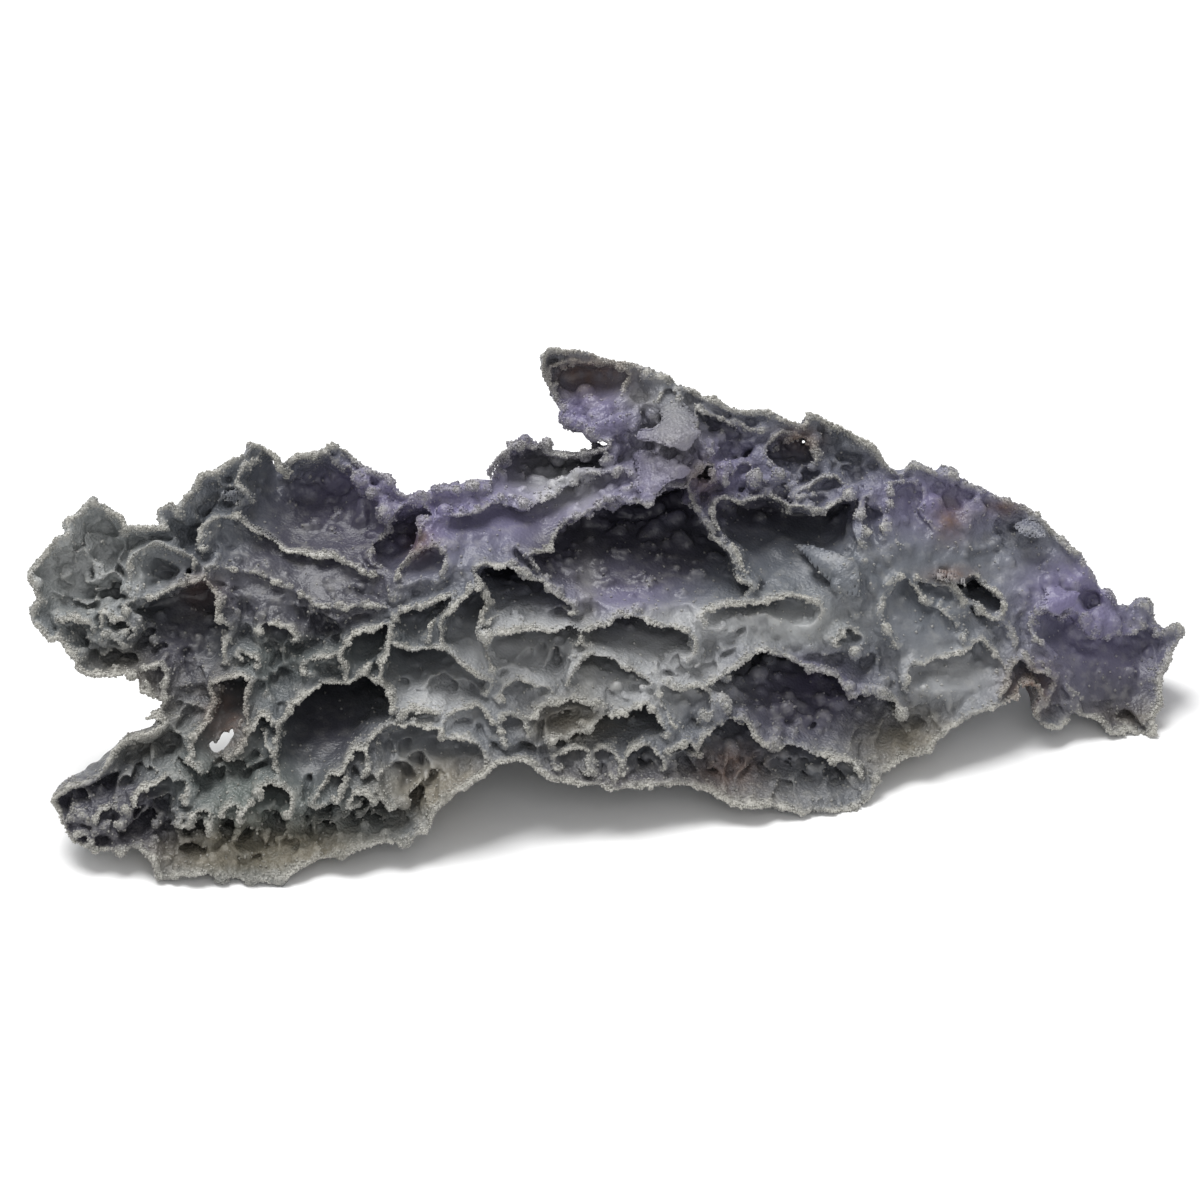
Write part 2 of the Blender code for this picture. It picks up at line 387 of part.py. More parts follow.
def place(x, y, depth, drifting=True):
    """World position of a point that lies depth metres behind the rims at x, y of the picture.

    Going deeper, the low parts drift level with the ground and both ends draw in to the middle.
    """
    inward = depth if drifting else 0 * depth
    share = height_share(x, y)
    right = x - END_DRIFT * (x / (SPECIMEN_LENGTH / 2)) * inward
    up = y + (FOOT_DRIFT + (CREST_DRIFT - FOOT_DRIFT) * share) * inward
    away = rim_depth(x, y) + depth
    spread = 1 + away / VIEW_DISTANCE
    cosine, sine = math.cos(VIEW_ELEVATION), math.sin(VIEW_ELEVATION)
    world = [right * spread, up * spread * sine + away * cosine, up * spread * cosine - away * sine]
    return np.stack(world, axis=-1) + np.array(PICTURE_MIDDLE)


def outline_distance(x, y, loop):
    """Distance from each point to the nearest edge of a closed outline."""
    edge = np.roll(loop, -1, axis=0) - loop
    reach = np.stack([x, y], axis=-1)[:, None, :] - loop[None, :, :]
    along = np.clip((reach * edge).sum(-1) / (edge ** 2).sum(-1), 0, 1)
    return np.linalg.norm(reach - along[..., None] * edge, axis=-1).min(axis=1)


def under_share(x, y, loop):
    """1 on the lower edge of a closed outline, 0 from UNDERSIDE_TOP above it."""
    after = np.roll(loop, -1, axis=0)
    run = after[:, 0] - loop[:, 0]
    along = (x[:, None] - loop[:, 0]) / np.where(run == 0, MM, run)
    height = loop[:, 1] + along * (after[:, 1] - loop[:, 1])
    crossed = (along >= 0) & (along <= 1) & (run != 0)
    edge = np.where(crossed, height, y[:, None]).min(axis=1)
    return np.clip(1 - (y - edge) / UNDERSIDE_TOP, 0, 1)


def rear_depth(x, y, loop):
    """How far the rear lies behind the rims: full in the middle, thin at the ends and at the outline."""
    share = height_share(x, y)
    full = HIGH_THICKNESS + (LOW_THICKNESS - HIGH_THICKNESS) * (1 - share) ** THICKNESS_FALL
    girth = along_length(x, GIRTH)
    full = END_THICKNESS + (full - END_THICKNESS) * girth
    lumps = [noise.noise((a / REAR_LUMP_SPACING, b / REAR_LUMP_SPACING, 0)) for a, b in zip(x, y)]
    inset = np.clip(outline_distance(x, y, loop) / REAR_ROUNDING, 0, 1)
    underside = UNDERSIDE_REACH * np.clip(girth / UNDERSIDE_GIRTH, 0, 1) * under_share(x, y, loop)
    rounding = 1 - (1 - underside) * (1 - np.sqrt(1 - (1 - inset) ** 2))
    return RIM_THICKNESS + (full + REAR_LUMP * np.array(lumps) - RIM_THICKNESS) * rounding


def ruffle(x, y, depth, loop):
    """Height of the lumps and rear feet on the underside, which begin behind its front edge."""
    places = zip(x / REAR_LUMP_SPACING, depth / REAR_LUMP_SPACING)
    lumps = np.array([noise.noise((a, 0, b)) for a, b in places])
    ramp = np.clip(depth / UNDERSIDE_RAMP, 0, 1) * under_share(x, y, loop)
    height = UNDERSIDE_LUMP * lumps
    for column, back, reach, drop in REAR_FEET:
        distance = np.hypot(x - picture_point(column, 0)[0], depth - back * MM) / (reach * MM)
        height = height - drop * MM * np.exp(-distance ** 2 / 2)
    return height * ramp


def bend(mesh, shape):
    """Moves every vertex of a mesh to where shape(x, y, z) says."""
    flat = np.empty(len(mesh.vertices) * 3)
    mesh.vertices.foreach_get("co", flat)
    points = flat.reshape(-1, 3)
    mesh.vertices.foreach_set("co", shape(*points.T).ravel())
    mesh.update()


def slab(name, points, half, collection):
    """A flat plate with a traced outline, half thick on each side of zero."""
    curve = bpy.data.curves.new(name, "CURVE")
    curve.dimensions = "2D"
    curve.fill_mode = "BOTH"
    curve.extrude = half
    spline = curve.splines.new("POLY")
    spline.points.add(len(points) - 1)
    spline.points.foreach_set("co", np.hstack([points, points * 0 + (0, 1)]).ravel())
    spline.use_cyclic_u = True
    flat = bpy.data.objects.new(name, curve)
    collection.objects.link(flat)
    evaluated = flat.evaluated_get(bpy.context.evaluated_depsgraph_get())
    mesh = bpy.data.meshes.new_from_object(evaluated)
    bpy.data.objects.remove(flat)
    bpy.data.curves.remove(curve)
    shaper = bmesh.new()
    shaper.from_mesh(mesh)
    bmesh.ops.remove_doubles(shaper, verts=shaper.verts, dist=0.01 * MM)
    bmesh.ops.dissolve_limit(shaper, angle_limit=math.radians(1), verts=shaper.verts, edges=shaper.edges)
    shaper.to_mesh(mesh)
    shaper.free()
    plate = bpy.data.objects.new(name, mesh)
    collection.objects.link(plate)
    return plate


def triangulate(mesh):
    """Splits every face of a mesh into triangles."""
    shaper = bmesh.new()
    shaper.from_mesh(mesh)
    bmesh.ops.triangulate(shaper, faces=shaper.faces)
    shaper.to_mesh(mesh)
    shaper.free()


def slice_grid(mesh, step):
    """Cuts a plate along a square grid and twice through its edge, so that it can follow a shape."""
    shaper = bmesh.new()
    shaper.from_mesh(mesh)
    reach = SPECIMEN_LENGTH / 2
    for normal in (Vector((1, 0, 0)), Vector((0, 1, 0))):
        for distance in np.arange(step / 2 - reach, reach, step):
            whole = shaper.verts[:] + shaper.edges[:] + shaper.faces[:]
            bmesh.ops.bisect_plane(shaper, geom=whole, dist=0.2 * MM, plane_co=normal * distance,
                                   plane_no=normal)
    for height in (1 / 6, -1 / 6):
        whole = shaper.verts[:] + shaper.edges[:] + shaper.faces[:]
        bmesh.ops.bisect_plane(shaper, geom=whole, dist=0.2 * MM, plane_co=(0, 0, height),
                               plane_no=(0, 0, 1))
    bmesh.ops.triangulate(shaper, faces=shaper.faces)
    shaper.to_mesh(mesh)
    shaper.free()


def make_body(collection):
    """The body before its pouches are cut: a slab bent over the feet, with a lumpy rear."""
    loop = metres(OUTLINE)
    body = slab(NODE_NAME, loop, 0.5, collection)
    slice_grid(body.data, GRID_STEP)

    def carry_back(x, y, z):
        depth = (0.5 - z) * rear_depth(x, y, loop)
        return place(x, y + ruffle(x, y, depth, loop), depth)

    bend(body.data, carry_back)
    return body


def cutter(name, mesh, collection):
    """A mesh as a cutter or a guide, which isn't part of the model."""
    tool = bpy.data.objects.new(name, mesh)
    tool.display_type = "WIRE"
    tool.hide_render = True
    collection.objects.link(tool)
    return tool


def ringed(name, loop, centre, rings, drifting, collection):
    """A closed cutter: an outline carried back in rings, given as (depth, size about the centre)."""
    shaper = bmesh.new()
    first, last = rings[0]
    corners = [shaper.verts.new((*(centre + (point - centre) * last), -first)) for point in loop]
    edges = [shaper.edges.new(pair) for pair in zip(corners, corners[1:] + corners[:1])]
    bmesh.ops.edgeloop_fill(shaper, edges=edges)
    for depth, size in rings[1:]:
        grown = bmesh.ops.extrude_edge_only(shaper, edges=edges)["geom"]
        edges = [part for part in grown if isinstance(part, bmesh.types.BMEdge)]
        for corner in (part for part in grown if isinstance(part, bmesh.types.BMVert)):
            corner.co.x = centre[0] + (corner.co.x - centre[0]) * size / last
            corner.co.y = centre[1] + (corner.co.y - centre[1]) * size / last
            corner.co.z = -depth
        last = size
    bmesh.ops.edgeloop_fill(shaper, edges=edges)
    bmesh.ops.triangulate(shaper, faces=shaper.faces)
    bmesh.ops.recalc_face_normals(shaper, faces=shaper.faces)
    mesh = bpy.data.meshes.new(name)
    shaper.to_mesh(mesh)
    shaper.free()
    bend(mesh, lambda x, y, z: place(x, y, -z, drifting))
    return cutter(name, mesh, collection)


def make_pouch(name, depth, lean, rim, collection):
    """The cutter of one pouch. lean says how high its deepest place is: 0 at the foot, 1 at the brow."""
    loop = plainer(metres(rim), RIM_TOLERANCE)
    low, high = loop.min(axis=0), loop.max(axis=0)
    deepest = low + (high - low) * (0.5, lean)
    rings = DEEP_RINGS if depth > DEEP_POUCH else SHALLOW_RINGS
    rings = [(-CUTTER_REACH, rings[0][1])] + [(share * depth * MM, size) for share, size in rings[1:]]
    return ringed(name, loop, deepest, rings, True, collection)


def make_hole(name, rim, collection):
    """The cutter of a hole that one can look through, straight along the line of sight."""
    loop = metres(rim)
    return ringed(name, loop, loop.mean(axis=0), [(-CUTTER_REACH, 1), (HOLE_REACH, 1)], False, collection)


def make_leaf(name, root, tip, rim, collection):
    """A thin leaf that stands off the face: root and tip are each (column, row, depth in millimetres)."""
    leaf = slab(name, plainer(metres(rim), RIM_TOLERANCE), LEAF_THICKNESS / 2, collection)
    triangulate(leaf.data)
    start, end = np.array(picture_point(*root[:2])), np.array(picture_point(*tip[:2]))
    slope = (end - start) / ((end - start) ** 2).sum()

    def lean_out(x, y, z):
        share = np.clip((np.stack([x, y], axis=-1) - start) @ slope, -0.5, 1.2)
        return place(x, y, (root[2] + (tip[2] - root[2]) * share) * MM - z)

    bend(leaf.data, lean_out)
    leaf.display_type = "WIRE"
    leaf.hide_render = True
    return leaf


def make_ball(name, centre, radius, collection):
    """A grape or a lump: a coarse ball."""
    shaper = bmesh.new()
    bmesh.ops.create_icosphere(shaper, subdivisions=2, radius=radius, matrix=Matrix.Translation(centre))
    mesh = bpy.data.meshes.new(name)
    shaper.to_mesh(mesh)
    shaper.free()
    return cutter(name, mesh, collection)


def surface(body):
    """The body's surface as it is now, for finding where a line meets it."""
    shaper = bmesh.new()
    shaper.from_mesh(body.data)
    tree = BVHTree.FromBMesh(shaper)
    shaper.free()
    return tree


def make_grapes(body, collection):
    """A ball on the first wall that the line of sight meets at each traced grape."""
    tree = surface(body)
    for number, (column, row, radius) in enumerate(GRAPES):
        x, y = (np.array([value]) for value in picture_point(column, row))
        near, far = (Vector(place(x, y, np.array([depth]), False)[0]) for depth in SIGHT_REACH)
        sight = (far - near).normalized()
        wall = tree.ray_cast(near, sight)[0]
        if wall is not None:
            size = radius * PIXEL
            make_ball(f"grape_{number}", wall - sight * size * (1 - GRAPE_SINK), size, collection)


def make_rear_lumps(body, collection):
    """Lumps over the rear and the top, on a spiral of directions round the body's middle."""
    tree = surface(body)
    low, high = box_of(body.data)
    middle = (low + high) / 2
    for number in range(REAR_LUMPS):
        rise = 1 - 2 * (number + 0.5) / REAR_LUMPS
        turn = number * math.pi * (3 - math.sqrt(5))
        level = math.sqrt(1 - rise ** 2)
        target = Vector((level * math.cos(turn) * 0.92, level * math.sin(turn), rise))
        start = middle + Vector(target * (high - low)) * 1.0
        wall, normal = tree.ray_cast(start, middle - start)[:2]
        if wall is not None and normal.y > REAR_FACING:
            size = REAR_LUMP_SIZES[number % len(REAR_LUMP_SIZES)]
            make_ball(f"lump_{number}", wall - normal * size * REAR_LUMP_SINK, size, collection)


def combine(body, operation, tools):
    """Cuts a collection of cutters out of the body, or fuses them to it, and keeps the result."""
    change = body.modifiers.new(operation.title(), "BOOLEAN")
    change.operation = operation
    change.operand_type = "COLLECTION"
    change.collection = tools
    change.solver = "EXACT"
    evaluated = body.evaluated_get(bpy.context.evaluated_depsgraph_get())
    mesh = bpy.data.meshes.new_from_object(evaluated)
    body.modifiers.remove(change)
    body.data = mesh
    triangulate(mesh)


def lighten(body, triangles):
    """Collapses the shortest and flattest edges until about so many triangles are left."""
    change = body.modifiers.new("Lighten", "DECIMATE")
    change.ratio = min(1, triangles / len(body.data.polygons))
    evaluated = body.evaluated_get(bpy.context.evaluated_depsgraph_get())
    mesh = bpy.data.meshes.new_from_object(evaluated)
    body.modifiers.remove(change)
    body.data = mesh
    triangulate(mesh)


def box_of(mesh):
    """Lowest and highest corner of a mesh."""
    flat = np.empty(len(mesh.vertices) * 3)
    mesh.vertices.foreach_get("co", flat)
    points = flat.reshape(-1, 3)
    return Vector(points.min(axis=0)), Vector(points.max(axis=0))


def stand_level(body, collection):
    """Cuts flats on the lowest feet, and puts the origin under the middle of the body's box."""
    low, high = box_of(body.data)
    shaper = bmesh.new()
    bmesh.ops.create_cube(shaper, size=1)
    floor = bpy.data.meshes.new("ground")
    shaper.to_mesh(floor)
    shaper.free()
    size = (high - low) * 1.5
    floor.transform(Matrix.Translation((low + high) / 2) @ Matrix.Diagonal((*size, 1)))
    floor.transform(Matrix.Translation((0, 0, low.z + BED_CUT - (low.z + high.z) / 2 - size.z / 2)))
    cutter("ground", floor, collection)
    combine(body, "DIFFERENCE", collection)
    keep_largest(body.data)
    low, high = box_of(body.data)
    shift = Vector((-(low.x + high.x) / 2, -(low.y + high.y) / 2, -low.z))
    body.data.transform(Matrix.Translation(shift))


def keep_largest(mesh):
    """Drops loose crumbs: only the largest connected body stays."""
    shaper = bmesh.new()
    shaper.from_mesh(mesh)
    group = {}
    for start in shaper.verts:
        front = [] if start in group else [start]
        while front:
            vertex = front.pop()
            if vertex not in group:
                group[vertex] = start.index
                front.extend(edge.other_vert(vertex) for edge in vertex.link_edges)
    counts = np.bincount([group[vertex] for vertex in shaper.verts])
    crumbs = [vertex for vertex in shaper.verts if group[vertex] != counts.argmax()]
    bmesh.ops.delete(shaper, geom=crumbs, context="VERTS")
    shaper.to_mesh(mesh)
    shaper.free()


def new_collection(name):
    """A collection of the scene."""
    collection = bpy.data.collections.new(name)
    bpy.context.scene.collection.children.link(collection)
    return collection


def make_material():
    """Dull lilac-grey chalcedony."""
    material = bpy.data.materials.new("chalcedony")
    material.use_nodes = True
    shader = material.node_tree.nodes["Principled BSDF"]
    shader.inputs["Base Color"].default_value = (0.36, 0.35, 0.40, 1)
    shader.inputs["Roughness"].default_value = 0.5
    shader.inputs["Metallic"].default_value = 0
    return material


def build():
    """Makes the whole specimen."""
    for old in list(bpy.data.objects):
        bpy.data.objects.remove(old)
    model = new_collection(NODE_NAME)
    tools = {name: new_collection(name) for name in ("pouches", "leaves", "grapes", "lumps", "ground")}
    body = make_body(model)
    for name, (depth, lean, rim) in CELLS.items():
        make_pouch(name, depth, lean, rim, tools["pouches"])
    for name, rim in HOLES.items():
        make_hole(name, rim, tools["pouches"])
    combine(body, "DIFFERENCE", tools["pouches"])
    for name, (root, tip, rim) in FLAPS.items():
        make_leaf(name, root, tip, rim, tools["leaves"])
    combine(body, "UNION", tools["leaves"])
    make_grapes(body, tools["grapes"])
    combine(body, "UNION", tools["grapes"])
    make_rear_lumps(body, tools["lumps"])
    combine(body, "UNION", tools["lumps"])
    keep_largest(body.data)
    lighten(body, TRIANGLES)
    stand_level(body, tools["ground"])
    body.data.materials.clear()
    body.data.materials.append(make_material())


build()
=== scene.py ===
# %% [markdown]
# # A grape agate, as a picture of stone that grew like froth
# This specimen is one piece of chalcedony. It is a long, low honeycomb of walls a millimetre or two
# thick, with deep pouches between them, a few leaning leaves, and small round beads where the stone
# grew outwards as drops. The solids of the frame have its large shapes. Here the same shapes are worked
# out again at half a millimetre, with ragged lips, beads and sugary grains.

import json
import math

import bpy
import numpy as np
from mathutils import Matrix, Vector, noise

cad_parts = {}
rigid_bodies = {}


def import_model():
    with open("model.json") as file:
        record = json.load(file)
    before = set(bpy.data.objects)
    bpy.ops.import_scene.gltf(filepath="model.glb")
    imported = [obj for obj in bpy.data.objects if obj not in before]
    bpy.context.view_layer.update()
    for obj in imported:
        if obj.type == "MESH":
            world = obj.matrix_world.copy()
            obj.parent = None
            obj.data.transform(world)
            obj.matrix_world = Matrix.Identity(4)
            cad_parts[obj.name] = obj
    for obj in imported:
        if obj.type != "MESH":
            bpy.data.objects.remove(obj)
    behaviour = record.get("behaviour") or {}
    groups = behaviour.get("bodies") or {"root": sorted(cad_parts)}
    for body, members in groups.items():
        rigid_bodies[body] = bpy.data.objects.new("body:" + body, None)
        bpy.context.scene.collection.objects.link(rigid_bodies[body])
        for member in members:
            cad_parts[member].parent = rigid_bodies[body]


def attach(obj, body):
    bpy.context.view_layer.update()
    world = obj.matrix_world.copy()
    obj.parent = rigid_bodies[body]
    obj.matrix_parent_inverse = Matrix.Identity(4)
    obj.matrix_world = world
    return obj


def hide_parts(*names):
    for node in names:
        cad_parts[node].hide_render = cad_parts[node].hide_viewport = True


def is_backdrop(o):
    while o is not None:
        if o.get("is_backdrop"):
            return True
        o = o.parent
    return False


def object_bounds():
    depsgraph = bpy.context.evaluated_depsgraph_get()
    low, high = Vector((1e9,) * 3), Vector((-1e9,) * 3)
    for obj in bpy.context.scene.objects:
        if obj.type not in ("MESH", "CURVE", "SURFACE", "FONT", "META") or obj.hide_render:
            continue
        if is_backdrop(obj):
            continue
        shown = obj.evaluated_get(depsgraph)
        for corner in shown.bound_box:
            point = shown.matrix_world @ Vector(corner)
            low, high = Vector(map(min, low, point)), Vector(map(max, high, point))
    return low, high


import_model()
cad_low, cad_high = (np.array(corner) * 1000 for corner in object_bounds())
print("the solids' box, mm:", cad_low.round(1), cad_high.round(1))

# %% [markdown]
# ## Where a point of the picture lies in the room
# The specimen is described the way one looks at it: how far right and how far up in the picture, and
# how deep behind its front rims. Such a description can be checked by eye against a photo. The
# functions below turn it into millimetres in the frame. They are the ones that the solids are made
# with, so the two agree.

# %% The picture and the face
LENGTH = 222.0                        # millimetres across the picture
PICTURE_SIZE = 1200                   # pixels across the same width
PIXEL = LENGTH / PICTURE_SIZE
ELEVATION = math.radians(30)          # how far the camera looks down
DISTANCE = 760.0                      # from the camera to the nearest foot's plane
PICTURE_MIDDLE = np.array([-3.82, -21.77, 46.01])   # where the picture's middle lies on that plane
NEAR_FOOT = (237, 884)                # pixel where the nearest foot touches the ground
FAR_FOOT_COLUMN = 1130                # pixel column of the farthest foot
FEET_BEND = (6.6, 37.4)               # depth of the line of feet: its straight and its squared part
SWELL_FADE = 12.0                     # height above the ground where the swells below are full
FACE_RECLINE = 0.27                   # depth that the face gains for each unit of height
END_DRIFT = 0.25                      # how fast both ends draw in to the middle going deeper
FOOT_DRIFT = 0.61                     # how fast the low parts rise in the picture going deeper
CREST_DRIFT = -0.12                   # how fast the crest sinks in the picture going deeper
# Height of the crest, and how full the rear is, along the length: (pixel column, value)
CREST = [(27, 60), (100, 68), (250, 82), (400, 74), (500, 82), (560, 99), (650, 94), (740, 87),
         (870, 81), (950, 76), (1050, 64), (1120, 52), (1185, 46)]
GIRTH = [(27, 0.0), (150, 0.25), (300, 0.8), (450, 1.0), (850, 1.0), (980, 0.55), (1060, 0.1),
         (1185, 0.0)]
# Broad swells of the face towards the viewer: column, row, reach in pixels, height in millimetres
FACE_SWELLS = [(470, 590, 60, 5), (250, 830, 70, 4), (420, 770, 50, 3), (850, 560, 40, 5),
               (640, 650, 70, 3), (680, 440, 30, 5), (560, 380, 40, -6), (930, 640, 50, 3),
               (300, 500, 60, -6), (545, 460, 50, -9), (770, 450, 50, -4), (960, 500, 60, -3)]


def picture_point(column, row):
    """Millimetres right of and above the picture's middle."""
    return (column - PICTURE_SIZE / 2) * PIXEL, (PICTURE_SIZE / 2 - row) * PIXEL


def in_pixels(right, up):
    """Column and row of a place that is given in millimetres from the picture's middle."""
    return right / PIXEL + PICTURE_SIZE / 2, PICTURE_SIZE / 2 - up / PIXEL


def outline_mm(points):
    """A traced outline in millimetres, as an array of x, y."""
    return np.array([picture_point(column, row) for column, row in points], np.float32)


def along_length(x, pairs):
    """A value that is given at a few pixel columns, at any x: straight lines between them."""
    columns = [picture_point(column, 0)[0] for column, value in pairs]
    return np.interp(x, columns, [value for column, value in pairs])


def feet_line(x):
    """Depth of the ground line at x, from the share of the way to the far foot, and its height."""
    near, low = picture_point(*NEAR_FOOT)
    share = (x - near) / (picture_point(FAR_FOOT_COLUMN, 0)[0] - near)
    depth = FEET_BEND[0] * share + FEET_BEND[1] * share ** 2
    return depth, (low + depth * math.tan(ELEVATION)) / (1 + depth / DISTANCE)


def rim_depth(x, y):
    """Depth of the front rims: the feet's, plus a lean, less a bell at each listed swell."""
    depth, low = feet_line(x)
    fade = np.clip((y - low) / SWELL_FADE, 0, 1)
    depth = depth + FACE_RECLINE * (y - low)
    for column, row, reach, height in FACE_SWELLS:
        cx, cy = picture_point(column, row)
        square = (x - cx) ** 2 + (y - cy) ** 2
        depth = depth - height * fade * np.exp(-square / (reach * PIXEL) ** 2 / 2)
    return depth


def height_share(x, y):
    """0 on the ground line, 1 at the crest."""
    low = feet_line(x)[1]
    crest = picture_point(0, NEAR_FOOT[1])[1] + along_length(x, CREST)
    return np.clip((y - low) / (crest - low), 0, 1)


def seen_at(x, y, depth):
    """Where a point of the block shows in the picture, and how far away: it drifts with its depth."""
    right = x * (1 - END_DRIFT * depth / (LENGTH / 2))
    up = y + (FOOT_DRIFT + (CREST_DRIFT - FOOT_DRIFT) * height_share(x, y)) * depth
    return right, up, rim_depth(x, y) + depth


def in_room(right, up, away):
    """Millimetres in the frame of a picture's point at a distance: perspective, then the tilt."""
    spread = 1 + away / DISTANCE
    cosine, sine = math.cos(ELEVATION), math.sin(ELEVATION)
    world = [right * spread, up * spread * sine + away * cosine, up * spread * cosine - away * sine]
    return np.stack(world, axis=-1) + PICTURE_MIDDLE


# %% [markdown]
# ## Camera, floor and light
# The picture looks down at 30 degrees from about three quarters of a metre. The stone stands on a
# white sheet in soft light from above, with one soft shadow under its lower edge, so a large lamp
# overhead and a bright world do. The lens follows from the distance and the width of the picture.

# %% Camera
SENSOR = 36.0                         # width of the film, millimetres
camera_data = bpy.data.cameras.new("camera")
camera_data.sensor_width = SENSOR
camera_data.lens = SENSOR * DISTANCE / LENGTH
camera = bpy.data.objects.new("camera", camera_data)
toward_camera = np.array([0, -math.cos(ELEVATION), math.sin(ELEVATION)])
camera.location = (PICTURE_MIDDLE + DISTANCE * toward_camera) / 1000
camera.rotation_euler = (math.pi / 2 - ELEVATION, 0, 0)
bpy.context.scene.collection.objects.link(camera)
bpy.context.scene.camera = camera
print("lens, mm:", round(camera_data.lens, 1))

# %% [markdown]
# The sheet is one large square, so that its edge is never in the picture. Each lamp is a square area
# lamp turned to the stone: such a lamp gives the soft edge that the shadow has in the photo.

# %% Floor and light
FLOOR_SIDE = 6.0                      # metres
WORLD_STRENGTH = 0.42
LAMPS = {                             # place and side in metres, power in watts
    "overhead": ((-0.25, 0.3, 1.1), 0.8, 17.5),
    "front": ((0.2, -1.2, 0.75), 1.0, 4),
}
floor_mesh = bpy.data.meshes.new("floor")
half = FLOOR_SIDE / 2
corners = [(-half, -half, 0), (half, -half, 0), (half, half, 0), (-half, half, 0)]
floor_mesh.from_pydata(corners, [], [(0, 1, 2, 3)])
floor = bpy.data.objects.new("floor", floor_mesh)
bpy.context.scene.collection.objects.link(floor)
floor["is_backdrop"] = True
for name, (place, side, power) in LAMPS.items():
    lamp_data = bpy.data.lights.new(name, "AREA")
    lamp_data.size = side
    lamp_data.energy = power
    lamp = bpy.data.objects.new(name, lamp_data)
    lamp.location = place
    lamp.rotation_euler = (-Vector(place)).to_track_quat("-Z", "Y").to_euler()
    bpy.context.scene.collection.objects.link(lamp)
world = bpy.data.worlds.new("studio")
world.use_nodes = True
sky = world.node_tree.nodes["Background"].inputs
sky["Strength"].default_value = WORLD_STRENGTH
sky["Color"].default_value = (1, 1, 1, 1)
bpy.context.scene.world = world
bpy.context.scene.view_settings.view_transform = "Standard"
print("lamps:", list(LAMPS))

# %% [markdown]
# ## What was traced
# Every pouch, leaf and bead below was drawn over the photo, in its pixels. A pouch has its depth in
# millimetres, the height of its deepest place (0 at its foot, 1 at its brow) and its rim. A leaf has its
# root and its tip, each with a depth, and its rim. A bead has its middle and its radius.

# %% Traced shapes
OUTLINE = [
    (27, 574), (38, 561), (49, 546), (66, 534), (66, 522), (78, 512), (92, 507), (105, 507), (122, 521),
    (125, 532), (151, 527), (161, 530), (162, 508), (170, 506), (179, 512), (184, 495), (204, 477),
    (220, 472), (239, 451), (246, 439), (262, 444), (280, 464), (296, 454), (318, 453), (326, 445),
    (340, 450), (370, 471), (390, 479), (401, 494), (412, 502), (430, 496), (437, 485), (453, 489),
    (467, 484), (493, 485), (493, 472), (497, 459), (508, 449), (498, 438), (522, 443), (544, 447),
    (549, 437), (555, 451), (577, 453), (609, 441), (597, 436), (590, 429), (578, 429), (566, 423),
    (558, 404), (544, 370), (543, 356), (554, 348), (593, 350), (627, 363), (656, 376), (704, 393),
    (740, 412), (762, 410), (798, 425), (804, 421), (807, 410), (835, 423), (873, 444), (885, 458),
    (898, 466), (910, 463), (952, 472), (997, 491), (1038, 517), (1057, 536), (1095, 571), (1124, 603),
    (1131, 604), (1141, 598), (1151, 606), (1153, 620), (1169, 628), (1178, 624), (1185, 632), (1172, 651),
    (1162, 677), (1153, 711), (1150, 731), (1143, 736), (1111, 737), (1099, 724), (1076, 720), (1051, 736),
    (1036, 734), (1033, 718), (1037, 699), (1033, 686), (1024, 689), (1019, 702), (989, 710), (974, 718),
    (949, 731), (936, 747), (904, 760), (891, 772), (879, 779), (868, 800), (845, 812), (800, 814),
    (755, 802), (736, 806), (701, 793), (675, 788), (621, 790), (578, 786), (554, 782), (530, 764),
    (514, 761), (495, 760), (471, 781), (434, 808), (423, 831), (407, 844), (362, 851), (320, 862),
    (281, 876), (253, 883), (237, 884), (212, 875), (172, 879), (159, 884), (151, 861), (139, 854),
    (103, 856), (70, 848), (59, 827), (48, 803), (52, 796), (72, 783), (95, 771), (118, 745), (135, 739),
    (163, 725), (141, 720), (158, 714), (164, 701), (153, 696), (137, 690), (139, 678), (122, 671),
    (94, 674), (75, 668), (76, 661), (63, 637), (54, 640), (32, 628), (32, 616), (40, 607), (31, 584),
]

